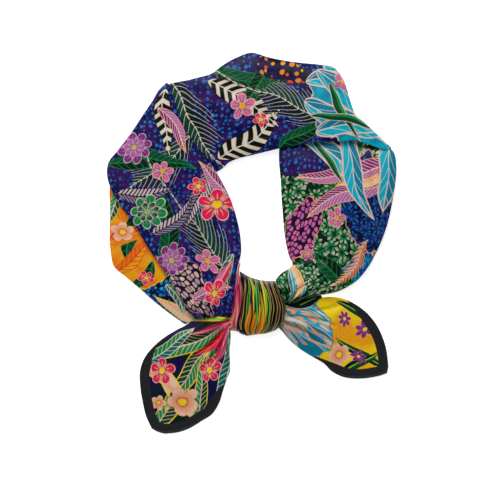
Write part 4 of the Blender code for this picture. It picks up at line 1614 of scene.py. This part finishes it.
RIGHT_BAND = (
    (150.2, 105, 31.5, 113, -12, 5.6, 5.0, 5.2, 0, 0),
    (155.6, 97.8, 30.5, 101, -9, 6.8, 6.6, 6.4, 0, 0),
    (157.6, 84, 30.5, 88, -7, 9.5, 7.5, 7.5, 0, 0),
    (156.7, 66, 32, 71, -5, 11.5, 7.5, 7.5, 0, 0),
    (153.7, 47, 33, 52, -4, 12.5, 7.5, 7.5, 0, 0),
    (149.7, 27, 34.4, 34, -3, 12.5, 7.5, 7.5, 0, 0),
    (144.6, 10, 35.7, 16, -2, 12.5, 7.5, 7.5, 0, 0),
    (136.8, -8.5, 38, 0, -1, 13.0, 8.0, 8.0, 0, 0),
    (126.8, -26.6, 41.3, -14, 0, 13.5, 8.0, 8.5, 0, 0),
    (113.2, -42.2, 45, -24, 0, 14.0, 8.5, 9.0, 0, 0),
    (101.3, -49.6, 41, -28, 0, 15.5, 9.0, 10.0, 0, 0),
    (90, -54, 33, -33, 0, 17.0, 9.5, 11.0, 0, 0),
    (77, -56.5, 26.4, -41.8, 0, 17.5, 9.5, 12.5, 0, 0),
    (65, -59.3, 29.2, -50, 0, 17.0, 9.5, 13.5, 0, 0),
    (54, -62, 32.8, -58, 0, 15.0, 9.0, 12.5, 0, 0),
    (45, -66.5, 35.8, -66.5, 0, 10.0, 7.5, 9.0, 0, 0),
)

KNOT_WRAP = (
    (-12.5, -30.8, 25, -41.2, -3.6, 7.0, 5.5, 5.5, 0, 0),
    (-11.3, -40, 26.5, -45.5, -2.8, 16.0, 11.0, 11.0, 0, 0),
    (-9.4, -49, 29.4, -52.5, -1, 23.0, 15.0, 15.0, 0, 0),
    (-9.2, -60, 33.6, -61, 0, 26.5, 17.0, 16.5, 0, 0),
    (-10.2, -71, 36.8, -70, 0, 27.0, 17.0, 16.5, 0, 0),
    (-12.2, -81, 36.0, -78, 0, 25.5, 16.5, 15.5, 0, 0),
    (-14, -89, 34, -86.5, 0, 22.0, 14.0, 13.5, 0, 0),
    (-13.4, -97, 27.6, -94, 0, 15.0, 10.0, 9.5, 0, 0),
    (-5, -101.6, 14.5, -99.3, 0, 7.0, 5.5, 5.5, 0, 0),
)

WRAP_GATHERS = (
    (0.045, 1.3, 1.3),
    (0.115, 1.8, 1.4),
    (0.155, -1.2, 0.7),
    (0.195, 1.6, 1.2),
    (0.27, 2.1, 1.5),
    (0.312, -1.5, 0.7),
    (0.35, 1.6, 1.3),
    (0.43, 2.2, 1.6),
    (0.475, -1.4, 0.7),
    (0.51, 1.5, 1.1),
    (0.57, 2.0, 1.4),
    (0.613, -1.6, 0.8),
    (0.65, 2.2, 1.5),
    (0.72, 1.5, 1.2),
    (0.757, -1.3, 0.7),
    (0.79, 1.9, 1.3),
    (0.86, 1.5, 1.2),
    (0.93, 1.3, 1.2),
)

KNOT_STRAND = (
    (-13.4, -21.5, -12.4, -22.3, 0, 8.0, 6.0, 6.0, 0, 0),
    (-15.6, -32, -13.9, -33, 0, 13.0, 10.0, 9.0, 0, 0),
    (-16.9, -40, -12.4, -40, 0, 17.0, 12.0, 11.0, 0, 0),
    (-18, -51, -10.0, -51, 0, 20.0, 13.0, 13.0, 0, 0),
    (-18.6, -63, -9.9, -63, 0, 20.5, 13.5, 13.5, 0, 0),
    (-20.4, -75, -11.6, -75, 0, 19.0, 12.5, 12.5, 0, 0),
    (-22, -86, -14.2, -86, 0, 15.0, 10.0, 10.0, 0, 0),
    (-22.2, -95.8, -15.2, -97, 0, 8.0, 6.0, 6.0, 0, 0),
)

RIGHT_TURNED_EDGE = (
    (33, -65.0, 33, -71.5, 0, 3.4, 2.8, 2.8, 0, 0),
    (40, -65.6, 42, -72.0, 0, 3.6, 3.0, 3.0, 0, 0),
    (46, -65.4, 49, -71.6, 0, 4.0, 3.2, 3.2, 0, 0),
    (57, -61.0, 62, -70.0, 0, 5.4, 3.8, 3.8, 0, 0),
    (67, -58.5, 70.5, -66.0, 0, 5.0, 3.6, 3.6, 0, 0),
    (76, -57.0, 78, -61.0, 0, 3.0, 2.6, 2.6, 0, 0),
)

LEFT_TAIL = (
    (-19, -75, -17, -93, 0, 6.5, 3.5, 4.0),
    (-24, -75.5, -22.6, -96, 0, 7.0, 3.5, 4.0),
    (-32, -75.8, -22.6, -100, 0, 8.0, 3.0, 4.5),
    (-45, -76.5, -23, -108, 0, 8.0, 2.5, 4.5),
    (-59, -79.6, -24, -118, 0, 6.5, 1.5, 3.5),
    (-70.5, -89, -23.5, -129, 0, 4.5, 0.8, 2.6),
    (-82.3, -95.2, -23.5, -140, 0, 3.0, 0.3, 2.2),
    (-95, -103, -27, -149, 0, 1.8, 0.0, 1.8),
    (-107, -113, -31, -161, 0, 1.0, 0.0, 1.2),
    (-117.3, -126, -35, -174, 0, 0.4, 0.0, 0.6),
    (-122.1, -141, -43, -187, 0, 0.0, 0.5, 0.0),
    (-121.6, -158, -55, -195, 0, 0.0, 1.2, 0.0),
    (-119, -174, -68.4, -203, 0, 0.0, 1.0, 0.0),
    (-115.5, -189, -81, -207.2, 0, 0.0, 0.3, 0.5),
    (-109.4, -202.6, -94.5, -208.6, -1, 0.0, 0.0, 0.8),
)

RIGHT_TAIL = (
    (31, -66, 25.4, -89.2, 1.4, 8.0, 4.0, 4.0),
    (37.9, -68, 31.6, -94.6, 1.4, 8.0, 4.0, 4.0),
    (50, -71.2, 39.4, -103.8, 0.8, 8.0, 4.0, 4.0),
    (64, -69.0, 49.5, -113.2, 0, 7.0, 4.0, 3.0),
    (77, -60.0, 60.5, -120.7, 0, 5.5, 3.6, 2.0),
    (89, -59, 70.4, -126.5, 0, 4.0, 3.0, 1.2),
    (102.8, -61.7, 79.4, -132, 0, 2.6, 2.2, 0.6),
    (116.3, -68.6, 87.6, -140.2, 0, 1.4, 1.6, 0.0),
    (127, -77.2, 98, -145.8, 0, 0.8, 1.2, 0.0),
    (136.8, -89.4, 110, -148.2, 0, 0.3, 0.8, 0.3),
    (142.7, -101, 122, -148.2, 0, 0.0, 0.4, 0.8),
    (147, -114, 132, -146.9, 0, 0.0, 0.0, 1.0),
    (148.8, -124.5, 141, -145, 0, 0.0, 0.0, 0.6),
    (149.8, -135, 148.4, -142.3, 0, 0.0, 0.3, 0.3),
)


@dataclass
class Ring:
    """The folded band that goes round the neck: its three stretches and its slipped layers."""

    sections: int = 230

    def left_band(self) -> FoldedStretch:
        """The left stretch, which lies over the far one in a mitred fold.

        Returns:
            The stretch.
        """
        return FoldedStretch(
            node="left_band",
            slot="violet_print_silk",
            rows=LEFT_BAND,
            ground=Dots(),
            motifs=LEFT_BAND_MOTIFS,
            sections=self.sections,
            flat=(112.0, 275.0),
            held=Held.FOLDED,
            folds=(
                Fold(-20, -52, -37, 58, 5, -1.6, 6, Run.ROOTED),
                Fold(-31, -72, -78, 42, 6, -1.8, 6, Run.ROOTED),
                Fold(-44, -76, -108, 22, 4, -1.6, 5, Run.ROOTED),
                Fold(-26, -64, -56, 50, 5, 1.5, 8, Run.ROOTED),
                Fold(-38, -76, -92, 30, 5, 1.3, 7, Run.ROOTED),
                Fold(-84, 165, -140, 84, -6, 1.0, 8),
                Fold(-88, 168, -62, 118, 3, 0.9, 3.5),
                Fold(-96, 150, -70, 108, -3, -0.8, 4),
                Fold(-150, 78, -88, 60, 5, -0.7, 6),
                Fold(-120, 112, -98, 30, -6, 0.8, 7),
            ),
            pleats=(
                Pleat(0.10, 1.4, 1.8, 55),
                Pleat(0.19, -1.8, 1.4, 80),
                Pleat(0.30, 1.6, 2.2, 60),
                Pleat(0.38, -2.0, 1.2, 95),
                Pleat(0.50, 1.8, 2.4, 70),
                Pleat(0.61, -2.2, 1.3, 75),
                Pleat(0.70, 1.5, 1.8, 50),
                Pleat(0.80, -2.0, 1.2, 60),
                Pleat(0.89, 1.2, 1.5, 45),
            ),
            gathered=88.0,
            end_round=9.0,
            end_level=5.0,
            seed=11,
        )

    def left_under_layer(self) -> FoldedStretch:
        """The layers that slipped out from under the left stretch.

        Returns:
            The stretch.
        """
        return FoldedStretch(
            node="left_under_layer",
            slot="orange_print_silk",
            rows=LEFT_UNDER_LAYER,
            ground=Wash(Ink.AMBER, Ink.ORANGE),
            motifs=UNDER_LAYER_MOTIFS,
            sections=130,
            flat=(42.0, 172.0),
            held=Held.FOLDED,
            folds=(
                Fold(-152, 30, -96, -58, 4, 0.8, 6),
                Fold(-146, -10, -108, -52, 3, -0.9, 4),
            ),
            layers=2,
            tops=44,
            phase=0.7,
            spread=0.3,
            seed=12,
        )

    def top_band(self) -> FoldedStretch:
        """The far stretch, from under the mitre to the lip over the right stretch.

        Returns:
            The stretch.
        """
        return FoldedStretch(
            node="top_band",
            slot="stripe_and_leaf_print_silk",
            rows=TOP_BAND,
            ground=Dots(),
            motifs=TOP_BAND_MOTIFS,
            sections=self.sections,
            flat=(92.0, 235.0),
            held=Held.FOLDED,
            folds=(
                Fold(70, 184, 111, 142, 3, -4.0, 5),
                Fold(-40, 190, -14, 160, -4, -3.0, 5, Run.ROOTED),
                Fold(52, 120, 116, 134, 12, 1.8, 9),
                Fold(-50, 110, 20, 128, 6, 1.0, 10),
                Fold(-60, 120, 0, 178, 4, -1.2, 8),
                Fold(60, 128, 128, 112, 8, -1.2, 6),
                Fold(66, 188, 96, 158, 3, -2.2, 2.2),
                Fold(78, 186, 108, 170, -4, 1.6, 5),
                Fold(94, 160, 132, 122, 2, -1.4, 3),
                Fold(20, 190, 60, 150, 6, -0.9, 7),
                Fold(-74, 168, -50, 120, -6, 0.8, 7),
            ),
            phase=2.0,
            seed=13,
        )

    def right_band(self) -> FoldedStretch:
        """The right stretch, from under the lip down to the knot.

        Returns:
            The stretch.
        """
        return FoldedStretch(
            node="right_band",
            slot="turquoise_print_silk",
            rows=RIGHT_BAND,
            ground=Sprigs(),
            motifs=RIGHT_BAND_MOTIFS,
            sections=self.sections,
            flat=(112.0, 215.0),
            held=Held.FOLDED,
            folds=(
                Fold(45, -25, 66, -33, -2, -6.0, 4, Run.ROOTED),
                Fold(40, -36, 72, -50, -4, 2.0, 7),
                Fold(60, -34, 112, 42, -6, -1.6, 7, Run.ROOTED),
                Fold(74, -46, 138, 20, -8, -1.6, 7, Run.ROOTED),
                Fold(66, -40, 124, 36, -8, 1.2, 8, Run.ROOTED),
                Fold(50, 96, 60, 10, 4, 1.2, 10),
                Fold(140, 100, 128, 20, -6, 1.2, 9),
                Fold(44, -24, 84, -20, 4, -2.6, 2.4, Run.ROOTED),
                Fold(52, -30, 96, -40, -3, 1.4, 4, Run.ROOTED),
                Fold(84, 92, 92, 8, -5, -0.8, 6),
                Fold(139.5, 103, 142, 38, -2, 4.2, 0.5, Run.TURNED),
                Fold(134, 106, 137, 46, -3, -2.4, 4.0),
            ),
            pleats=(
                Pleat(0.12, 1.8, 1.4, 55),
                Pleat(0.24, -2.8, 1.2, 95),
                Pleat(0.36, 2.4, 1.8, 65),
                Pleat(0.48, -3.0, 1.2, 115),
                Pleat(0.60, 2.4, 2.0, 60),
                Pleat(0.72, -2.9, 1.2, 80),
                Pleat(0.84, 1.8, 1.4, 50),
            ),
            gathered=84.0,
            gather_over=75.0,
            end_round=6.0,
            phase=3.1,
            seed=14,
        )

    def turned_edge(self) -> FoldedStretch:
        """The dark edge that is turned under between the right stretch and its corner. Its dark
        green and its leaf are its own print; its near black is painted shade where it goes under the
        right stretch into the knot.

        Returns:
            The stretch.
        """
        return FoldedStretch(
            node="right_turned_edge",
            slot="dark_hem_silk",
            rows=RIGHT_TURNED_EDGE,
            # Partly print, partly painted shade: the forest green drifts into a near black that
            # stands for the shadow under the right stretch and the knot.
            ground=Wash(Ink.FOREST, Ink.SOOT),
            motifs=(Leaf(50, -69, 18, 26, 2.2, 0.5, BEAN),),
            sections=50,
            flat=(13.0, 34.0),
            held=Held.FOLDED,
            layers=1,
            tops=30,
            spread=0.8,
            wave_height=0.1,
            seed=15,
        )

    def build(self) -> list[bpy.types.Object]:
        """Builds every stretch of the ring.

        Returns:
            The objects.
        """
        stretches = (
            self.left_band(),
            self.left_under_layer(),
            self.top_band(),
            self.right_band(),
            self.turned_edge(),
        )
        return [stretch.build() for stretch in stretches]


@dataclass
class Knot:
    """The knot: a gathered wrap, and the strand that comes out beside it.

    Their gathers run from end to end, so these reach far past the piece and hardly fade.
    """

    sections: int = 110
    gather_reach: float = 400.0
    gather_over: float = 9000.0

    def gathers(self, rows: Sequence[tuple[float, float, float]]) -> tuple[Pleat, ...]:
        """The gathers of a table that gives each one's place across, height and width."""
        return tuple(Pleat(across, tall, wide, self.gather_reach) for across, tall, wide in rows)

    def wrap(self) -> FoldedStretch:
        """The wrap, with its gathers running from the neck side to the ends.

        Returns:
            The stretch.
        """
        return FoldedStretch(
            node="knot_wrap",
            slot="yellow_print_silk",
            rows=KNOT_WRAP,
            ground=Wash(Ink.NAVY, Ink.FOREST),
            motifs=WRAP_MOTIFS,
            sections=self.sections,
            flat=(80.0, 72.0),
            held=Held.GATHERED,
            pleats=self.gathers(WRAP_GATHERS),
            gathered=104.0,
            gather_over=self.gather_over,
            layers=1,
            tops=190,
            spread=0.6,
            start_round=5.0,
            end_round=5.0,
            wave_size=14.0,
            wave_height=0.25,
            seed=16,
        )

    def strand(self) -> FoldedStretch:
        """The narrow strand that leaves the left stretch and opens into the left corner.

        Returns:
            The stretch.
        """
        return FoldedStretch(
            node="knot_strand",
            slot="pink_print_silk",
            rows=KNOT_STRAND,
            ground=Streaks((Ink.PURPLE, Ink.CRIMSON, Ink.FUCHSIA, Ink.BLUSH), width=4.0),
            motifs=STRAND_MOTIFS,
            sections=self.sections,
            flat=(24.0, 76.0),
            held=Held.GATHERED,
            pleats=self.gathers(((0.30, 1.2, 1.2), (0.48, -2.0, 0.9), (0.68, 1.4, 1.2))),
            gathered=36.0,
            gather_over=self.gather_over,
            layers=1,
            tops=44,
            spread=0.8,
            start_round=8.0,
            end_round=6.0,
            wave_size=12.0,
            wave_height=0.2,
            seed=17,
        )

    def build(self) -> list[bpy.types.Object]:
        """Builds the wrap and the strand."""
        return [self.wrap().build(), self.strand().build()]


@dataclass
class Corners:
    """The two corners of the square that are left over by the knot."""

    border: float = 10.6

    def left(self) -> FreeCorner:
        """The left corner, with pleats that fan out of the strand.

        Returns:
            The corner.
        """
        return FreeCorner(
            node="left_tail",
            slot="leaf_print_silk",
            rows=LEFT_TAIL,
            ground=Wash(Ink.FOREST, Ink.INDIGO),
            motifs=LEFT_TAIL_MOTIFS,
            sections=190,
            flat=(92.0, 160.0),
            held=Held.LAID,
            folds=(
                Fold(-26, -84, -78, -112, 4, -6.0, 2.2, Run.ROOTED),
                Fold(-28, -80, -78, -103, 2, 3.4, 5, Run.ROOTED),
                Fold(-25, -86, -68, -128, 3, -6.0, 2.0, Run.ROOTED),
                Fold(-25, -86, -64, -119, 2, 3.4, 2.8, Run.ROOTED),
                Fold(-24, -90, -55, -141, 3, -5.4, 1.9, Run.ROOTED),
                Fold(-24, -89, -54, -130, 2, 3.2, 2.6, Run.ROOTED),
                Fold(-23, -95, -42, -140, 2, -5.0, 1.8, Run.ROOTED),
                Fold(-23, -93, -44, -130, 2, 3.0, 2.4, Run.ROOTED),
                Fold(-23, -98, -32, -136, 1, 2.8, 2.6, Run.ROOTED),
                Fold(-78, -112, -80, -130, 1, 1.8, 5),
                Fold(-66, -110, -70, -134, 1, 1.6, 5),
                Fold(-34, -120, -62, -172, 3, 0.8, 4),
                Fold(-58, -132, -92, -176, -4, 0.7, 6),
            ),
            border=self.border,
            gathered=74.0,
            gather_over=64.0,
            hem_between=(0.62, 0.66),
            hem_lead=((-110.6, -101.4), (-118.5, -122)),
            hem_trail=((-33.5, -172), (-18, -157)),
            seed=18,
        )

    def right(self) -> FreeCorner:
        """The right corner, whose far edge is turned under near the knot.

        Returns:
            The corner.
        """
        return FreeCorner(
            node="right_tail",
            slot="yellow_print_silk",
            rows=RIGHT_TAIL,
            ground=Wash(Ink.SUN, Ink.AMBER),
            motifs=RIGHT_TAIL_MOTIFS,
            sections=170,
            flat=(78.0, 138.0),
            held=Held.LAID,
            folds=(
                Fold(52, -74, 101, -66, -4, -3.8, 3.2, Run.ROOTED),
                Fold(40, -80, 94, -92, 3, -4.6, 2.2, Run.ROOTED),
                Fold(39, -88, 78, -113, 2, -4.4, 2.0, Run.ROOTED),
                Fold(42, -76, 96, -80, 2, 1.6, 6, Run.ROOTED),
                Fold(40, -84, 86, -103, 2, 2.8, 3.2, Run.ROOTED),
                Fold(38, -93, 68, -118, 2, 2.2, 2.6, Run.ROOTED),
                Fold(84, -100, 126, -128, 4, 0.8, 7),
            ),
            border=self.border,
            gathered=66.0,
            gather_over=56.0,
            hem_between=(0.7, 0.64),
            hem_lead=((109.5, -52.3), (124, -70)),
            hem_trail=((86, -141), (70, -135)),
            seed=19,
        )

    def build(self) -> list[bpy.types.Object]:
        """Builds both corners."""
        return [self.left().build(), self.right().build()]


# ---- The design of each stretch ----
#
# The motifs are in the order in which they are printed. A leaf or a frond has x, y, turn,
# length, width, bend and style, a flower x, y, turn, radius and style, and a patch x, y, turn,
# length, width, ground and the ink of its line.

LEFT_BAND_MOTIFS = (
    Patch(-74, -46, 122, 44, 21, Pebbles(), Ink.ROSE),
    Frond(-62, 122, 222, 88, 22, 7, PALM),
    Leaf(-154, 86, -4, 92, 14, 8, DEEP_LEAF),
    Leaf(-92, -34, 96, 92, 14, -6, DEEP_LEAF),
    Frond(-22, -46, 124, 100, 22, -7, PALM),
    Leaf(-94, 168, -84, 74, 13, -5, STRIPED),
    Leaf(-44, 92, 246, 84, 14, 6, ASH_LEAF),
    Leaf(-150, 52, 8, 66, 11, -5, ASH_LEAF),
    Leaf(-100, 150, -62, 62, 10, 5, ORCHID),
    Leaf(-18, 34, 128, 70, 11, -5, ORCHID),
    Leaf(-110, 8, 40, 62, 11, -5, ASH_LEAF),
    Bloom(-128, 104, 10, 18, DAHLIA),
    Bloom(-128, 104, 30, 11, LILAC_HEART),
    Bloom(-112, 34, 40, 20, SUCCULENT),
    Bloom(-112, 34, 20, 12, GREEN_HEART),
    Bloom(-84, -18, 0, 17, DAHLIA),
    Bloom(-84, -18, 20, 11, LILAC_HEART),
    Leaf(-70, -66, 20, 60, 9, 5, ORCHID),
    Leaf(-20, -12, 236, 66, 9, 5, PALE_BANANA),
    Bloom(-38, 40, 14, 20, HIBISCUS),
    Bloom(-58, 62, 44, 11, HIBISCUS),
    Bloom(-96, 78, 0, 12, FRANGIPANI),
    Bloom(-46, -20, 20, 15, FRANGIPANI),
    Leaf(-44, -70, 64, 58, 9, 4, PINK_PETAL),
    Bloom(-38, -54, 0, 17, HIBISCUS),
)

UNDER_LAYER_MOTIFS = (
    Patch(-84, -76, -40, 42, 34, SEA_DOTS, Ink.SUN),
    Leaf(-158, 44, -40, 60, 12, 5, CROTON),
    Leaf(-120, 40, -104, 66, 12, -5, DEEP_LEAF),
    Leaf(-158, -2, 16, 62, 12, 5, CROTON),
    Leaf(-150, -34, 48, 56, 10, -4, AMBER_CROTON),
    Leaf(-150, 62, -100, 46, 8, 3, BANANA),
    Leaf(-106, -18, -128, 52, 9, 3, DEEP_LEAF),
    Bloom(-140, 14, 20, 12, PEACH_BLOOM),
    Bloom(-116, -36, 50, 9, HIBISCUS),
    Leaf(-60, -84, 150, 52, 9, 2, DRY),
    Leaf(-94, -44, -58, 44, 7, 2, PALE_BANANA),
)

TOP_BAND_MOTIFS = (
    Frond(-90, 176, -58, 96, 22, 7, PALM),
    Leaf(-40, 188, -10, 82, 14, -5, DEEP_LEAF),
    Leaf(-34, 92, 40, 88, 16, -6, STRIPED),
    Leaf(-46, 176, -34, 92, 16, 6, STRIPED),
    Leaf(34, 204, 236, 76, 13, -5, DEEP_LEAF),
    Frond(96, 116, 152, 104, 22, -7, PALM),
    Leaf(30, 104, 22, 64, 12, 5, DEEP_LEAF),
    Patch(34, 188, -14, 34, 12, FIRE_DOTS, Ink.FOREST),
    Patch(113, 146, -40, 59, 42, Wash(Ink.TURQUOISE, Ink.LAGOON), Ink.BLUSH),
    Leaf(58, 176, -4, 66, 14, 5, LAGOON_LEAF),
    Leaf(72, 188, -48, 112, 19, 8, LAGOON_LEAF),
    Leaf(58, 154, -18, 106, 19, -8, LAGOON_LEAF),
    Leaf(70, 120, 4, 84, 14, 6, LAGOON_LEAF),
    Leaf(84, 176, -62, 76, 6, -3, GRASS_BLADE),
    Leaf(64, 138, -10, 86, 6, 4, GRASS_BLADE),
    Bloom(99, 178, 0, 11, FRANGIPANI),
    Bloom(-8, 150, 24, 13, FRANGIPANI),
    Bloom(10, 134, 50, 9, HIBISCUS),
)

RIGHT_BAND_MOTIFS = (
    Patch(126, 40, -72, 62, 30, BLUE_SPRIGS, Ink.PEACH),
    Patch(66, 92, 0, 46, 20, Dots(), Ink.INDIGO),
    Patch(56, 14, 64, 34, 18, ROSE_PEBBLES, Ink.PEACH),
    Patch(118, -26, 40, 26, 13, WATER_DOTS, Ink.PEACH),
    Leaf(112, -44, 142, 58, 12, 4, DEEP_LEAF),
    Leaf(152, 84, 188, 104, 15, 6, ORCHID),
    Leaf(146, 62, 204, 96, 14, -6, ORCHID),
    Leaf(150, 74, 196, 60, 7, 3, DRY),
    Leaf(52, 112, -42, 84, 15, 7, LAGOON_LEAF),
    Leaf(104, 112, -72, 92, 16, -7, LAGOON_LEAF),
    Leaf(149, 115, 266, 84, 17, 4, LAGOON_LEAF),
    Leaf(60, 110, -52, 70, 5, 3, GRASS_BLADE),
    Frond(126, 2, 232, 62, 9, 6, PEACH_PALM),
    Bloom(92, 24, 0, 10, FRANGIPANI),
    Bloom(60, -12, 30, 8, FRANGIPANI),
    Leaf(62, -62, 118, 52, 7, 3, WATER),
    Leaf(52, -64, 106, 50, 7, -3, DRY),
    Leaf(42, -68, 92, 46, 6, 2, WATER),
)

WRAP_MOTIFS = (
    Leaf(-36, -96, 84, 66, 5.0, 4, REED),
    Leaf(-22, -98, 86, 70, 5.0, 4, GREEN_REED),
    Leaf(70, -90, 99, 60, 5.0, -6, REED),
    Leaf(58, -94, 99, 64, 5.0, -6, REED),
    Leaf(46, -97, 98, 68, 5.0, -5, REED),
    Leaf(34, -99, 97, 70, 5.0, -4, REED),
    Leaf(-12, -30, 270, 62, 6.0, 3, FLAME),
    Leaf(3, -34, 268, 56, 6.0, -2, GREEN_REED),
    Leaf(17, -36, 272, 60, 6.0, 2, FLAME),
    Leaf(-4, -100, 91, 60, 6.4, 2, GREEN_REED),
    Leaf(10, -100, 92, 50, 6.0, -2, FLAME),
    Leaf(26, -99, 95, 54, 5.0, -3, GREEN_REED),
    Leaf(-20, -101, 87, 34, 6.4, 1, TONGUE),
    Leaf(-7, -102, 89, 26, 6.0, 1, TONGUE),
    Leaf(5, -102, 91, 36, 6.4, -1, TONGUE),
    Leaf(18, -102, 92, 25, 6.0, -1, TONGUE),
)

STRAND_MOTIFS = (
    Leaf(-20, -97, 86, 52, 3.0, 1, PINK_PETAL),
    # Painted highlight: a pale blush streak up the strand from its foot.
    Leaf(-16, -98, 88, 50, 2.6, 1, PAINTED_HIGHLIGHT),
    Leaf(-24, -96, 85, 68, 2.4, 2, PETAL),
)

LEFT_TAIL_MOTIFS = (
    Leaf(-110, -212, 64, 104, 14, -6, GOLD_EDGED),
    Leaf(-46, -198, 130, 100, 12, 5, DRY),
    Leaf(-20, -92, 232, 120, 15, -7, GOLD_EDGED),
    Leaf(-20, -82, 204, 112, 15, 6, GOLD_EDGED),
    Leaf(-18, -100, 254, 96, 12, 5, PALE_BANANA),
    Leaf(-128, -130, -34, 74, 11, 5, DRY),
    Leaf(-54, -210, 86, 92, 12, 5, GOLD_EDGED),
    Leaf(-124, -134, 36, 76, 11, -5, PALE_BANANA),
    Leaf(-20, -76, 186, 60, 7, -2, FLAME),
    Leaf(-14, -88, 216, 62, 9, 3, PETAL),
    Leaf(-14, -92, 240, 58, 8, -3, PINK_PETAL),
    Leaf(-16, -80, 198, 54, 7, 2, PINK_PETAL),
    Bloom(-98, -140, 12, 15, HIBISCUS),
    Bloom(-74, -172, 40, 17, PEACH_BLOOM),
    Bloom(-44, -140, 20, 12, HIBISCUS),
    Bloom(-102, -176, 0, 10, PEACH_BLOOM),
)

RIGHT_TAIL_MOTIFS = (
    Patch(46, -92, -34, 46, 36, WATER_STREAKS, Ink.LAGOON),
    Leaf(146, -132, 152, 62, 7, 3, BEAN),
    Leaf(92, -142, 26, 58, 6, -3, BEAN),
    Leaf(92, -66, -28, 56, 6, 3, BEAN),
    Bloom(124, -92, 12, 11, VIOLET_BLOOM),
    Bloom(98, -122, 40, 13, PEACH_BLOOM),
    Bloom(118, -126, 10, 9, VIOLET_BLOOM),
    Bloom(100, -84, 10, 8, VIOLET_BLOOM),
)


# ---- The studio ----


@dataclass(frozen=True)
class Softbox:
    """A square soft light that faces the scarf, with its place and its side in metres."""

    name: str
    place: tuple[float, float, float]
    watts: float
    side: float = 1.2

    def hang(self) -> None:
        """Hangs the light, turned so that it looks at the middle of the floor."""
        data = bpy.data.lights.new(self.name, "AREA")
        data.size = self.side
        data.energy = self.watts
        lamp = place_object(self.name, data)
        x, y, z = lamp.location = self.place
        tilt, turn = math.atan2(math.hypot(x, y), z), math.atan2(y, x) + math.pi / 2
        lamp.rotation_euler = (tilt, 0.0, turn)


@dataclass
class Studio:
    """A white sweep lit from below too, four soft lights, and a camera straight above."""

    middle: tuple[float, float] = (-1.835, -6.89)
    view_width: float = 545.0
    camera_height: float = 2400.0
    subject_height: float = 10.0
    sensor: float = 36.0
    farthest: float = 50.0
    floor_size: float = 6000.0
    floor_drop: float = 0.3
    room_light: float = 0.1
    lights: tuple[Softbox, ...] = (
        Softbox("key_softbox", (-0.3, 1.4, 1.5), 32.0),
        Softbox("left_softbox", (-1.5, 0.1, 1.4), 6.8),
        Softbox("right_softbox", (1.4, -0.3, 1.5), 3.0),
        Softbox("near_softbox", (0.2, -1.4, 1.5), 2.2),
    )

    def floor(self) -> None:
        """Lays the floor, just under the scarf."""
        half, drop = self.floor_size / 2, self.floor_drop
        corners = np.array([(-1, -1), (1, -1), (1, 1), (-1, 1)]) * half
        points = np.pad(corners, ((0, 0), (0, 1)), constant_values=-drop) * MM
        mesh = bpy.data.meshes.new("studio_floor")
        mesh.from_pydata(points.tolist(), [], [(0, 1, 2, 3)])
        mesh.materials.append(MattPaper().material())
        place_object("studio_floor", mesh)

    def camera(self) -> None:
        """Hangs the camera over the scarf, looking straight down with +Y at the top."""
        data = bpy.data.cameras.new("camera")
        reach = self.camera_height - self.subject_height
        data.sensor_width = self.sensor
        data.lens = self.sensor * reach / self.view_width
        data.clip_end = self.farthest
        camera = place_object("camera", data)
        camera.location = (self.middle[0] * MM, self.middle[1] * MM, self.camera_height * MM)
        bpy.context.scene.camera = camera

    def build(self) -> None:
        """Sets up the floor, the lights and the camera."""
        scene = bpy.context.scene
        scene.view_settings.view_transform = "Standard"
        world = bpy.data.worlds.new("studio")
        world.use_nodes = True
        background = world.node_tree.nodes["Background"]
        background.inputs["Color"].default_value = (1, 1, 1, 1)
        background.inputs["Strength"].default_value = self.room_light
        scene.world = world
        self.floor()
        for softbox in self.lights:
            softbox.hang()
        self.camera()


def main() -> None:
    """Builds the scarf's sub-assemblies in order, then the studio, and reports each piece."""
    logging.basicConfig(level=logging.INFO, format="%(name)s: %(message)s")
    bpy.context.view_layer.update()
    pieces = [*Ring().build(), *Knot().build(), *Corners().build()]
    LOG.info("%d pieces", len(pieces))
    Studio().build()


if __name__ == "__main__":
    main()
